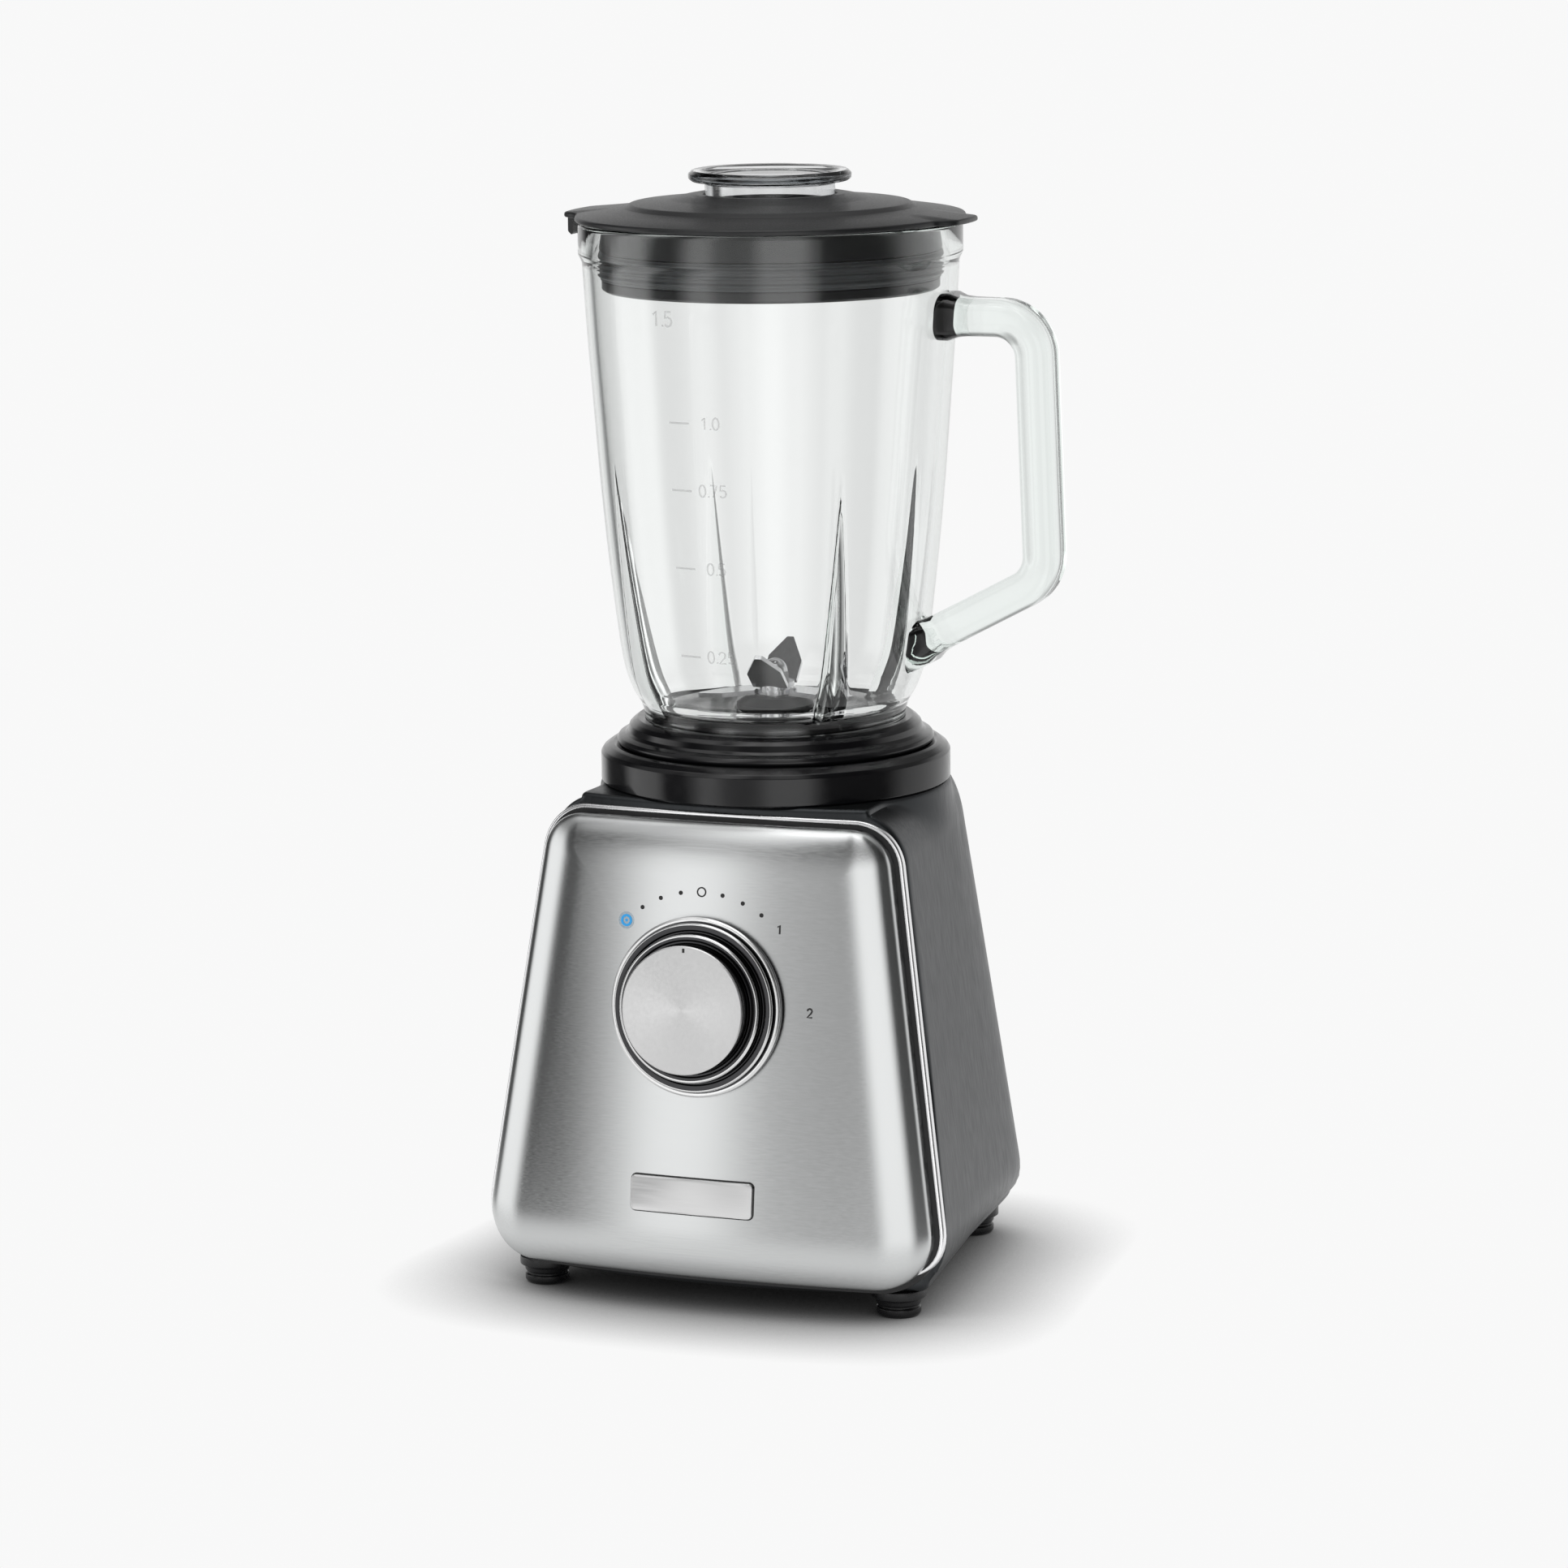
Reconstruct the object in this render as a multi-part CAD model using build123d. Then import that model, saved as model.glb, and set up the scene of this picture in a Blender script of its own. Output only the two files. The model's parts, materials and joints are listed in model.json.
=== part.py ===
from build123d import *
import math
import os

# Countertop blender: a power unit with motor, dial and seat collar, a glass jug on a blade base,
# a lid and a filler cap. Millimetres. X to the right, Y to the back, Z up, drive axis at X = Y = 0
# while modelling; every piece is moved by `to_row_frame` as it is written.

# ---------------------------------------------------------------- driving dimensions
# power unit body
foot_height = 10.0
foot_radius = 9.8             # at the collar under the base plate
foot_neck_radius = 8.0
base_plate_thickness = 3.0
deck_z = 180.0                 # flat top of the housing
housing_wall = 3.0
panel_lean = 7.1               # degrees, top of the front panel leans back
panel_y = -78.8                # foremost line of the panel at dial height
dial_z = 110.9
crown_radius = 330.0           # plan curve of the front panel
panel_half_bottom = 87.2       # half width at the panel's bottom edge
panel_half_top = 63.8          # half width at the panel's top edge
panel_bottom_z = 14.5
panel_top_z = deck_z - 4.5
panel_corner_bottom = 19.0
panel_corner_top = 15.0
panel_roll = 6.0               # depth of the rolled panel edge
panel_side = 10.6              # depth of the panel's side wall behind the foremost line
panel_sheet = 1.2
gasket_gap = 1.8               # black seam between panel and trim
trim_width = 2.0
front_flare = 2.6              # the side walls widen towards the panel's foremost line
back_y = 68.0
back_half_bottom = 77.6
back_half_top = 57.8
back_corner = 16.0
back_round_top = 67.6          # radius about the drive axis that rounds the back, at deck height
back_round_bottom = 96.6       # and at the housing's underside
plinth_flare = 4.0
plinth_height = 20.0
# dial
dial_base_radius = 32.0
dial_ring_radius = 30.0
dial_step_radius = 26.5
dial_face_radius = 22.8
dial_base_height = 3.0
dial_ring_height = 5.4
dial_step_height = 9.2
dial_face_height = 15.6
knob_shaft_radius = 3.0
# badge
badge_width = 46.0
badge_height = 12.7
badge_thickness = 1.6
badge_z = 43.8
# seat and jug base
seat_radius = 63.4
plinth_radius = seat_radius + 0.4   # round platform under the seat collar
seat_height = 12.0
seat_top_z = deck_z + seat_height
seat_wall = 7.0
blade_base_radius_top = 50.2
glass_foot_z = seat_top_z + 11.0    # underside of the glass shoulder
floor_z = glass_foot_z + 3.5        # top of the blade base inside the jug
# jug
glass_wall = 3.6
neck_radius = 45.5
neck_wall = 3.0
neck_bottom_z = glass_foot_z - 13.5
rim_height = 179.0             # rim above the glass shoulder
rim_z = glass_foot_z + rim_height
rim_radius = 68.9
# outer radius at shares of the rim height above the shoulder
jug_stations = ((47.0, 0.0), (48.6, 0.031), (52.0, 0.065), (55.2, 0.128), (59.0, 0.296),
                (61.9, 0.464), (64.1, 0.626), (66.0, 0.771), (67.6, 0.922))
jug_profile = [(radius, glass_foot_z + share * rim_height) for radius, share in jug_stations]
rib_height = 86.0
rib_radius = 8.0
spout_reach = 2.6
handle_thickness = 13.2
handle_width = 18.0
handle_top_z = rim_z - 32.5
handle_x_top = 99.9
handle_x_bottom = 103.4
handle_bend_z = glass_foot_z + 54.0
handle_root_z = glass_foot_z + 31.0
handle_corner = 13.0
# lid and cap
lid_skirt_radius = rim_radius - glass_wall - 4.7
lid_skirt_bottom_z = rim_z - 24.0
lid_wall = 2.6
lid_flange_radius = 69.6
lid_dome_radius = 52.0
lid_crest_radius = 26.0
lid_crest_z = rim_z + 9.6
handle_tab_reach = 75.6
spout_tab_reach = 76.0
filler_radius = 20.6
cap_radius = 29.2
cap_neck_radius = 23.4
cap_wall = 2.0
cap_disc_thickness = 4.1
total_height = lid_crest_z + 8.4
# drive train
shaft_radius = 4.0
spindle_radius = 4.0
coupling_radius = 10.0
coupling_teeth = 6
armature_radius = 21.0
stator_half = 39.0
stator_bottom_z = 74.0
stator_height = 40.0
# named clearances
running_clearance = 0.08       # shafts in bearings and bushes
sliding_clearance = 0.3        # pieces that slide past each other
seat_clearance = 0.4           # jug base in its seat
lift_gap = 0.3                 # faces of different bodies that rest on each other

# ---------------------------------------------------------------- derived places
lean = math.radians(panel_lean)
panel_normal = (0, -math.cos(lean), math.sin(lean))
panel_plane = Plane(origin=(0, panel_y, dial_z), x_dir=(1, 0, 0), z_dir=panel_normal)
base_plate_z = foot_height
housing_bottom_z = base_plate_z + base_plate_thickness
seat_inner_radius = seat_radius - seat_wall
blade_base_radius = seat_inner_radius - seat_clearance
deck_hole_radius = shaft_radius + 8.0


def slope(z):
    """Distance along the leaning panel from the dial's height to height z."""
    return (z - dial_z) / math.cos(lean)


def trapezoid(half_bottom, half_top, low, high, radius_bottom, radius_top, grow=0.0):
    """A rounded trapezoid face in the XY plane, grown outwards by `grow`."""
    tilt = (half_bottom - half_top) / (high - low)
    side = grow * math.sqrt(1 + tilt * tilt)
    bottom, top = low - grow, high + grow
    half_b = half_bottom + side + tilt * grow
    half_t = half_top + side - tilt * grow
    corners = ((-half_b, bottom), (half_b, bottom), (half_t, top), (-half_t, top))
    face = make_face(Polyline(*corners, close=True))
    face = fillet(face.vertices().sort_by(Axis.Y)[:2], radius_bottom + grow)
    return fillet(face.vertices().sort_by(Axis.Y)[-2:], radius_top + grow)


def panel_outline(grow=0.0):
    return trapezoid(panel_half_bottom, panel_half_top, slope(panel_bottom_z), slope(panel_top_z),
                     panel_corner_bottom, panel_corner_top, grow)


def panel_prism(grow=0.0):
    """The panel outline run through the front of the body, square to the panel."""
    return panel_plane * Pos(0, 0, -40) * extrude(panel_outline(grow), 60)


def crown(offset):
    """Everything behind the crowned front surface, `offset` below its foremost line."""
    axis = panel_plane * Pos(0, 0, -crown_radius) * Rot(-90, 0, 0)
    return axis * Cylinder(crown_radius - offset, 460)


def ring(outer, inner, low, high):
    return Pos(0, 0, (low + high) / 2) * (Cylinder(outer, high - low) - Cylinder(inner, high - low))


def rod(radius, low, high):
    return Pos(0, 0, (low + high) / 2) * Cylinder(radius, high - low)


def revolved(points):
    """A solid of revolution about the drive axis from (radius, z) points."""
    return revolve(make_face(Plane.XZ * Polyline(*points, close=True)), Axis.Z)


def box(x, y, z, width, depth, height):
    """A block centred on x, y with its underside at z."""
    return Pos(x, y, z + height / 2) * Box(width, depth, height)


# ---------------------------------------------------------------- power unit shell
front_depth = panel_side + 2.8          # housing face below the panel's foremost line
trim_grow = gasket_gap + trim_width
screw_places = [(x, y) for x in (-44, 44) for y in (-34, 32)]
boss_radius = 6.0
bracket_top_z = deck_z - 28.0
mount_height = 5.0
boss_bottom_z = bracket_top_z + mount_height
pin_place = (0.0, 46.0)
pin_radius = 2.5


def housing_block(inset=0.0):
    """The body's outer form: a loft from the panel outline to the smaller, rounded back."""
    front = panel_plane * panel_outline(trim_grow + front_flare - inset)
    back_face = trapezoid(back_half_bottom, back_half_top, housing_bottom_z, deck_z,
                          panel_corner_bottom, back_corner, -inset)
    back_plane = Plane(origin=(0, back_y - inset, 0), x_dir=(1, 0, 0), z_dir=(0, -1, 0))
    block = loft([back_plane * back_face, front])
    height = deck_z - housing_bottom_z
    rounding = Solid.make_cone(back_round_bottom - inset, back_round_top - inset, height)
    front_half = box(0, -150, housing_bottom_z, 400, 300, height)
    block = block & (Pos(0, 0, housing_bottom_z) * rounding + front_half)
    return block & crown(front_depth + inset)


def make_plinth():
    """The round platform that carries the seat collar, flared into the sides."""
    flare = Solid.make_cone(plinth_radius + plinth_flare, plinth_radius, plinth_height)
    return (Pos(0, 0, deck_z - plinth_height) * flare) & crown(front_depth)


def make_housing():
    cavity = housing_block(housing_wall) - box(0, 0, deck_z - housing_wall, 400, 400, 60)
    cavity = cavity - box(0, 0, housing_bottom_z - 30, 400, 400, 30 + housing_wall)
    shell = housing_block() + make_plinth() - cavity
    opening = RectangleRounded(104, 96, 12)
    shell = shell - Pos(0, 0, housing_bottom_z - 1) * extrude(opening, housing_wall + 2)
    for x, y in screw_places:
        boss = Pos(x, y, 0) * rod(boss_radius, boss_bottom_z, deck_z - housing_wall)
        hole = Pos(x, y, 0) * rod(1.7, boss_bottom_z - 1, deck_z - housing_wall - 3)
        shell = shell + boss - hole
    for x, y in base_screw_places:
        shell = shell - Pos(x, y, 0) * rod(1.6, housing_bottom_z - 1, housing_bottom_z + housing_wall + 1)
    shell = shell - rod(deck_hole_radius, deck_z - 10, deck_z + 1)
    shell = shell - Pos(*pin_place, 0) * rod(pin_radius + sliding_clearance, deck_z - 10, deck_z + 1)
    shell = shell - dial_place * Cylinder(knob_bush_radius, 60)
    return shell - gland_place * Cylinder(gland_radius, 30)


base_screw_places = [(-60, -46), (60, -46), (-58, 32), (58, 32)]
foot_places = {
    "foot_front_left": (-68, -60), "foot_front_right": (68, -60),
    "foot_back_left": (-56, 54), "foot_back_right": (56, 54),
}
dial_place = panel_plane
knob_bush_radius = 6.0
gland_radius = 6.0
gland_place = Pos(38, back_y, 34) * Rot(90, 0, 0)


def make_base_plate():
    bottom = trapezoid(72.0, 60.0, -62.0, 60.0, 16.0, 16.0)
    plate = Pos(0, 0, base_plate_z) * extrude(bottom, base_plate_thickness)
    for x in (-24, -12, 0, 12, 24):
        slot = RectangleRounded(5, 40, 2.4)
        plate = plate - Pos(x, 0, base_plate_z - 1) * extrude(slot, base_plate_thickness + 2)
    for x, y in base_screw_places:
        plate = plate - Pos(x, y, 0) * rod(1.9, base_plate_z - 1, housing_bottom_z + 1)
    return plate


def make_base_screws():
    screws = []
    for x, y in base_screw_places:
        head = rod(3.2, base_plate_z - 2.0, base_plate_z)
        screws.append(Pos(x, y, 0) * (head + rod(1.5, base_plate_z - 0.01, housing_bottom_z + housing_wall)))
    return Compound(screws)


def make_foot(x, y):
    body = revolved(((0, 0), (foot_neck_radius - 1.0, 0), (foot_neck_radius, 1.0),
                     (foot_neck_radius, foot_height - 4.6), (foot_radius, foot_height - 3.2),
                     (foot_radius, foot_height), (0, foot_height)))
    return Pos(x, y, 0) * body


def make_front_panel():
    def pillow(grow, offset, roll):
        block = (panel_prism(grow) & crown(offset)) - crown(panel_side)
        front = block.edges().filter_by(lambda edge: is_on_crown(edge, offset))
        return fillet(front, roll)

    outer = pillow(0.0, 0.0, panel_roll - 0.6)
    inner = pillow(-panel_sheet, panel_sheet, panel_roll - 0.6 - panel_sheet)
    panel = outer - inner
    return panel - dial_place * Cylinder(knob_bush_radius, 60)


def is_on_crown(edge, offset):
    """True for an edge that lies all along the crowned surface at `offset`."""
    for share in (0.0, 0.31, 0.5, 0.83, 1.0):
        local = panel_plane.to_local_coords(edge @ share)
        distance = math.hypot(local.X, local.Z + crown_radius)
        if abs(distance - (crown_radius - offset)) > 0.02:
            return False
    return True


def make_panel_gasket():
    band = panel_prism(gasket_gap - 0.1) - panel_prism(-2.0)
    return (band & crown(panel_side + 0.2)) - crown(front_depth)


def make_edge_trim():
    band = panel_prism(trim_grow) - panel_prism(gasket_gap)
    return (band & crown(panel_side - 1.2)) - crown(front_depth)


def make_seat_collar():
    wall_in = seat_inner_radius
    collar = revolved(((wall_in, deck_z), (seat_radius - 0.6, deck_z),
                       (seat_radius, deck_z + 0.6), (seat_radius, seat_top_z - 1.6),
                       (seat_radius - 1.6, seat_top_z + 0.8), (seat_radius - 3.4, seat_top_z + 1.6),
                       (wall_in + 0.6, seat_top_z + 1.2), (wall_in, seat_top_z)))
    for angle in key_angles:
        key = Rot(0, 0, angle) * box(wall_in - key_depth / 2 + 1, 0, deck_z, key_depth + 2, key_width, 8)
        collar = collar + key
    return collar


key_angles = (45, 135, 225, 315)
key_depth = 3.0
key_width = 8.0


def make_deck_seal():
    return ring(deck_hole_radius, shaft_radius + sliding_clearance, deck_z - housing_wall, deck_z - 0.4)


def make_badge():
    plate = extrude(RectangleRounded(badge_width, badge_height, 1.6), badge_thickness)
    plate = chamfer(plate.faces().sort_by(Axis.Z)[-1].edges(), 0.3)
    return panel_plane * Pos(0, slope(badge_z), 0.02) * plate


def make_dial_bezel():
    base = Pos(0, 0, dial_base_height / 2) * Cylinder(dial_base_radius, dial_base_height)
    base = chamfer(base.edges().sort_by(Axis.Z)[-1], 1.0)
    bezel = base - Cylinder(knob_bush_radius, 20)
    return panel_plane * Pos(0, 0, 0.02) * bezel


def make_rotary_switch():
    start = -front_depth - housing_wall - 0.6
    body = Pos(0, 0, start - 9) * Box(30, 26, 18)
    bush = Pos(0, 0, start / 2) * Cylinder(knob_bush_radius - 0.4, -start)
    hole = Pos(0, 0, start / 2) * Cylinder(knob_shaft_radius + running_clearance, -start + 12)
    return panel_plane * (body + bush - hole)


def make_cord_gland():
    flange = Cylinder(gland_radius + 3, 3)
    body = Pos(0, 0, 4.0) * Cylinder(gland_radius - 0.1, 9)
    bore = Cylinder(3.6, 30)
    return gland_place * (Pos(0, 0, -1.6) * flange + body - bore)


# ---------------------------------------------------------------- motor
def make_motor_stator():
    middle = stator_bottom_z + stator_height / 2
    core = Pos(0, 0, middle) * Box(2 * stator_half, 2 * stator_half - 10, stator_height)
    core = chamfer(core.edges().filter_by(Axis.Z), 6)
    bore = rod(armature_radius + 0.6, stator_bottom_z - 1, stator_bottom_z + stator_height + 1)
    core = core - bore
    for side in (-1, 1):
        slot = Pos(0, side * (armature_radius + 4.5), middle) * Box(34, 9, stator_height + 2)
        core = core - slot
    for x in (-stator_half + 7, stator_half - 7):
        core = core - Pos(x, 0, 0) * rod(2.1, stator_bottom_z - 1, stator_bottom_z + stator_height + 1)
    return core


def make_field_coils():
    coils = []
    for side in (-1, 1):
        y = side * (armature_radius + 4.5)
        middle = stator_bottom_z + stator_height / 2
        coil = Pos(0, y, middle) * Box(33, 7.6, stator_height + 22)
        coils.append(fillet(coil.edges().filter_by(Axis.Y), 4))
    return Compound(coils)


def make_upper_bracket():
    low = bracket_top_z - 6
    bracket = box(0, -1, low, 100, 20, 6) + rod(17, low, bracket_top_z)
    for x in (-44, 44):
        bracket = bracket + box(x, -1, low, 12, 78, 6)
    for x, y in screw_places:
        bracket = bracket - Pos(x, y, 0) * rod(2.2, low - 1, bracket_top_z + 1)
    bracket = bracket - rod(11.0, low + 1.5, bracket_top_z + 1) - rod(6.0, low - 1, low + 2)
    for x in (-stator_half + 7, stator_half - 7):
        post = Pos(x, 0, 0) * rod(4.2, stator_bottom_z + stator_height, low)
        bracket = bracket + post - Pos(x, 0, 0) * rod(2.1, stator_bottom_z + stator_height - 1, bracket_top_z + 1)
    return bracket


def make_lower_bracket():
    bracket = box(0, 0, 36, 80, 20, 5) + rod(15, 34, 46)
    for x in (-stator_half + 7, stator_half - 7):
        bracket = bracket + Pos(x, 0, 0) * rod(4.2, 41, stator_bottom_z)
        bracket = bracket - Pos(x, 0, 0) * rod(2.1, 35, stator_bottom_z + 1)
    return bracket - rod(11.0, 35.5, 47) - rod(6.0, 33, 36)


def make_bearing(low, high):
    return ring(11.0, shaft_radius + running_clearance, low, high)


def make_motor_screws():
    screws = []
    for x in (-stator_half + 7, stator_half - 7):
        shank = rod(1.9, 36, bracket_top_z + 1)
        head = rod(3.6, 33.6, 36)
        nut = rod(3.6, bracket_top_z, bracket_top_z + 3) - rod(1.9, bracket_top_z - 1, bracket_top_z + 4)
        screws.append(Pos(x, 0, 0) * (shank + head + nut))
    return Compound(screws)


def make_motor_mounts():
    low = bracket_top_z
    return Compound([Pos(x, y, 0) * ring(7, 2.2, low, boss_bottom_z) for x, y in screw_places])


def make_mount_screws():
    low = bracket_top_z - 6
    screws = []
    for x, y in screw_places:
        shank = rod(1.6, low - 0.01, deck_z - housing_wall - 4)
        screws.append(Pos(x, y, 0) * (shank + rod(4.0, low - 2.6, low)))
    return Compound(screws)


commutator_radius = 12.0
commutator_low, commutator_high = 50.0, 64.0
brush_length = 12.0


def make_carbon_brushes():
    x = commutator_radius + 0.2 + brush_length / 2
    return Compound([box(side * x, 0, 54, brush_length, 6, 6) for side in (-1, 1)])


def make_brush_holders():
    holders = []
    for side in (-1, 1):
        x = side * (commutator_radius + 8)
        holder = box(x, 0, 52, 12, 10, 10) - box(x, 0, 53.8, 20, 6.4, 6.4)
        holders.append(holder + box(side * 20, 0, 41, 8, 10, 11))
    return Compound(holders)


def make_commutator():
    return ring(commutator_radius, shaft_radius, commutator_low, commutator_high)


def make_armature_core():
    low, high = stator_bottom_z, stator_bottom_z + stator_height
    core = ring(armature_radius, shaft_radius, low, high)
    for index in range(12):
        slot = box(armature_radius - 3, 0, low - 1, 8, 2.2, stator_height + 2)
        core = core - Rot(0, 0, index * 30) * slot
    return core


def make_armature_windings():
    low, high = stator_bottom_z, stator_bottom_z + stator_height
    lower = revolved(((6, low - 9), (15, low - 9), (18.5, low - 5), (18.5, low), (6, low)))
    upper = revolved(((6, high), (18.5, high), (18.5, high + 5), (15, high + 9), (6, high + 9)))
    return Compound([lower, upper])


def make_motor_shaft():
    return rod(shaft_radius, 30, coupling_high - 2)


fan_z = bracket_top_z - 24.0


def make_cooling_fan():
    fan = ring(26.5, shaft_radius, fan_z, fan_z + 2) + ring(8, shaft_radius, fan_z, fan_z + 12)
    for index in range(8):
        blade = box(16, 0, fan_z, 18, 1.6, 11)
        fan = fan + Rot(0, 0, index * 45 + 10) * Pos(0, 3, 0) * blade
    return fan


coupling_low, coupling_high = deck_z + 1.5, deck_z + 9.0


def star(radius, depth, low, high):
    """A toothed hub: a round core with straight teeth all round."""
    hub = rod(radius - depth, low, high)
    for index in range(coupling_teeth):
        tooth = box(radius - depth, 0, low, 2 * depth, radius * 0.42, high - low)
        hub = hub + Rot(0, 0, index * 360 / coupling_teeth) * tooth
    return hub


def make_drive_coupling():
    coupling = star(coupling_radius, 2.6, coupling_low, coupling_high)
    return coupling - rod(shaft_radius, coupling_low - 1, coupling_high - 2)


# ---------------------------------------------------------------- interlock and electrics
pin_top_z = deck_z + 4.0
pin_travel = 4.0
pin_flange_z = deck_z - 14.0
switch_top_z = deck_z - 24.0
switch_height = 11.0


def make_interlock_pin():
    pin = rod(pin_radius, pin_flange_z, pin_top_z - 1) + rod(pin_radius - 0.8, pin_top_z - 1.01, pin_top_z)
    return Pos(*pin_place, 0) * (pin + rod(4.6, pin_flange_z, pin_flange_z + 2))


def make_interlock_spring():
    turns, radius, wire = 4, 3.3, 0.45
    height = pin_flange_z - switch_top_z - 2 * wire - 0.2
    path = Helix(height / turns, height, radius)
    profile = Plane(origin=path @ 0, z_dir=path % 0) * Circle(wire)
    spring = sweep(profile, path, is_frenet=True)
    return Pos(pin_place[0], pin_place[1], switch_top_z + wire + 0.1) * spring


def make_interlock_switch():
    """The switch under the pin, hung from the deck by a side post."""
    x, y = pin_place
    low = switch_top_z - switch_height
    body = box(x, y, low, 20, 8, switch_height)
    post = box(x + 12, y, low, 4.2, 8, deck_z - housing_wall - low)
    return body + post + box(x - 6, y, low - 4, 1, 4, 4.5)


def make_capacitor():
    depth = 10
    return Pos(0, back_y - housing_wall - depth / 2, 62) * Box(26, depth, 20)


def make_thermal_cutout():
    depth = 7
    return box(0, stator_half - 5 + depth / 2, 84, 14, depth, 18)


# ---------------------------------------------------------------- jug
def make_glass_form():
    """The jug's outer form, filled: neck, curved wall and thick rim."""
    wall = Plane.XZ * Spline(*jug_profile)
    last_r, last_z = jug_profile[-1]
    first_r, first_z = jug_profile[0]
    top = Plane.XZ * Polyline((last_r, last_z), (rim_radius, last_z + 2.0), (rim_radius, rim_z - 1.2),
                              (rim_radius - 1.0, rim_z), (0, rim_z))
    bottom = Plane.XZ * Polyline((0, rim_z), (0, neck_bottom_z), (neck_radius, neck_bottom_z),
                                 (neck_radius, glass_foot_z), (first_r, first_z))
    return revolve(make_face(wall + top + bottom), Axis.Z)


def make_glass_void():
    """The inside of the jug, open at the rim and through the neck."""
    inner_neck = neck_radius - neck_wall
    points = [(r - glass_wall, z) for r, z in jug_profile[1:]]
    wall = Plane.XZ * Spline(*points)
    last_r, last_z = points[-1]
    first_r, first_z = points[0]
    top = Plane.XZ * Polyline((last_r, last_z), (last_r + 0.2, rim_z + 1), (0, rim_z + 1))
    bottom = Plane.XZ * Polyline((0, rim_z + 1), (0, neck_bottom_z - 1), (inner_neck, neck_bottom_z - 1),
                                 (inner_neck, glass_foot_z), (first_r, first_z))
    return revolve(make_face(wall + top + bottom), Axis.Z)


def make_handle():
    root_x = 58.0
    path = FilletPolyline((root_x, 0, handle_top_z), (handle_x_top, 0, handle_top_z),
                          (handle_x_bottom, 0, handle_bend_z), (root_x - 8, 0, handle_root_z - 3),
                          radius=handle_corner)
    section = Plane(origin=(root_x, 0, handle_top_z), x_dir=(0, 1, 0), z_dir=(1, 0, 0))
    profile = section * RectangleRounded(handle_width, handle_thickness, 4.0)
    return sweep(profile, path)


def make_spout(reach, low):
    """A pouring lip: a leaning cone that swells the rim at the -X side."""
    cone = Solid.make_cone(2.0, 15.0, rim_z - low)
    return Pos(-(rim_radius - 14.0 + reach), 0, low) * cone


def make_jug():
    form = make_glass_form()
    spout_low = rim_z - 30.0
    spout = make_spout(spout_reach, spout_low) & rod(200, spout_low - 12, rim_z)
    form = form + spout + make_handle()
    void = make_glass_void()
    spout_lift = glass_wall * 1.6
    spout_void = Pos(-(rim_radius - 14.0 + spout_reach), 0, spout_low + spout_lift)
    spout_cut = spout_void * Solid.make_cone(1.0, 14.2 - glass_wall * 0.55, rim_z - spout_low + 1 - spout_lift)
    glass = form - void - spout_cut
    bottom_r = jug_profile[2][0] - glass_wall
    top_r = jug_profile[5][0] - glass_wall
    tilt = math.degrees(math.atan2(top_r - bottom_r, rib_height))
    ribs = None
    for angle in (45, 135, 225, 315):
        cone = Pos(bottom_r + 2.0, 0, floor_z + 1.0) * Rot(0, tilt, 0) * Solid.make_cone(rib_radius, 0.4, rib_height)
        rib = Rot(0, 0, angle) * cone
        ribs = rib if ribs is None else ribs + rib
    ribs = ribs & make_glass_form()
    glass = glass + ribs
    return glass - rod(neck_radius - neck_wall, neck_bottom_z - 1, floor_z + 0.5)


def make_blade_base():
    outer = blade_base_radius
    low = deck_z + lift_gap
    inner = neck_radius + sliding_clearance
    shell = revolved(((20.0, low), (outer, low), (outer, seat_top_z + 0.4), (outer + 1.6, seat_top_z + 2.4),
                      (outer + 0.6, seat_top_z + 4.6), (54.0, seat_top_z + 5.6), (52.6, seat_top_z + 8.6),
                      (blade_base_radius_top, glass_foot_z - lift_gap), (inner, glass_foot_z - lift_gap),
                      (inner, neck_bottom_z - 2.4), (neck_radius - 3.4, neck_bottom_z - 2.4),
                      (neck_radius - 3.4, floor_z - 1.0), (neck_radius - 4.4, floor_z),
                      (12.0, floor_z), (12.0, floor_z - 10), (20.0, floor_z - 12)))
    for angle in key_angles:
        slot = Rot(0, 0, angle) * box(outer - 0.8, 0, low - 1, 2 * key_depth + 2.0,
                                      key_width + 2 * sliding_clearance, 10)
        shell = shell - slot
    return shell - Pos(*pin_place, 0) * rod(pin_radius + 1.5, low - 1, pin_top_z + 1.0)


def make_jug_seal():
    return ring(neck_radius, neck_radius - 2.9, neck_bottom_z - 2.4, neck_bottom_z)


bush_low, bush_high = floor_z - 14.0, floor_z + 4.0


def make_blade_bush():
    body = rod(11.9, bush_low, floor_z) + revolved(((0, floor_z), (14, floor_z), (14, floor_z + 1.6),
                                                   (10, bush_high), (0, bush_high)))
    return body - rod(spindle_radius + running_clearance, bush_low - 1, bush_high + 1) - spindle_seal_space()


def spindle_seal_space():
    return rod(7.0, bush_high - 3.0, bush_high + 1)


def make_spindle_seal():
    return ring(6.9, spindle_radius + running_clearance, bush_high - 2.9, bush_high - 0.2)


# ---------------------------------------------------------------- blades
blade_seat_z = bush_high + 0.8
blade_sheet = 1.6


def make_spindle():
    top = blade_seat_z + 10.0
    shank = rod(spindle_radius, coupling_high + 0.6, blade_seat_z - 0.5)
    return shank + rod(3.0, blade_seat_z - 0.51, top)


def make_blade(low, reach, rise, angle, width=13.0):
    """A flat cutter of two wings, each cranked up or down by `rise` degrees."""
    hub = rod(7.0, low, low + blade_sheet)
    for side in (0, 180):
        outline = Polyline((0, -width / 2), (reach * 0.45, -width / 2), (reach, -1.0), (reach, 1.5),
                           (reach * 0.55, width / 2), (0, width / 2), close=True)
        wing = extrude(make_face(outline), blade_sheet)
        wing = Rot(0, -rise, 0) * wing
        hub = hub + Rot(0, 0, side) * Pos(6.2, 0, low) * wing
    return Rot(0, 0, angle) * (hub - rod(3.0, low - 6, low + 8))


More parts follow.
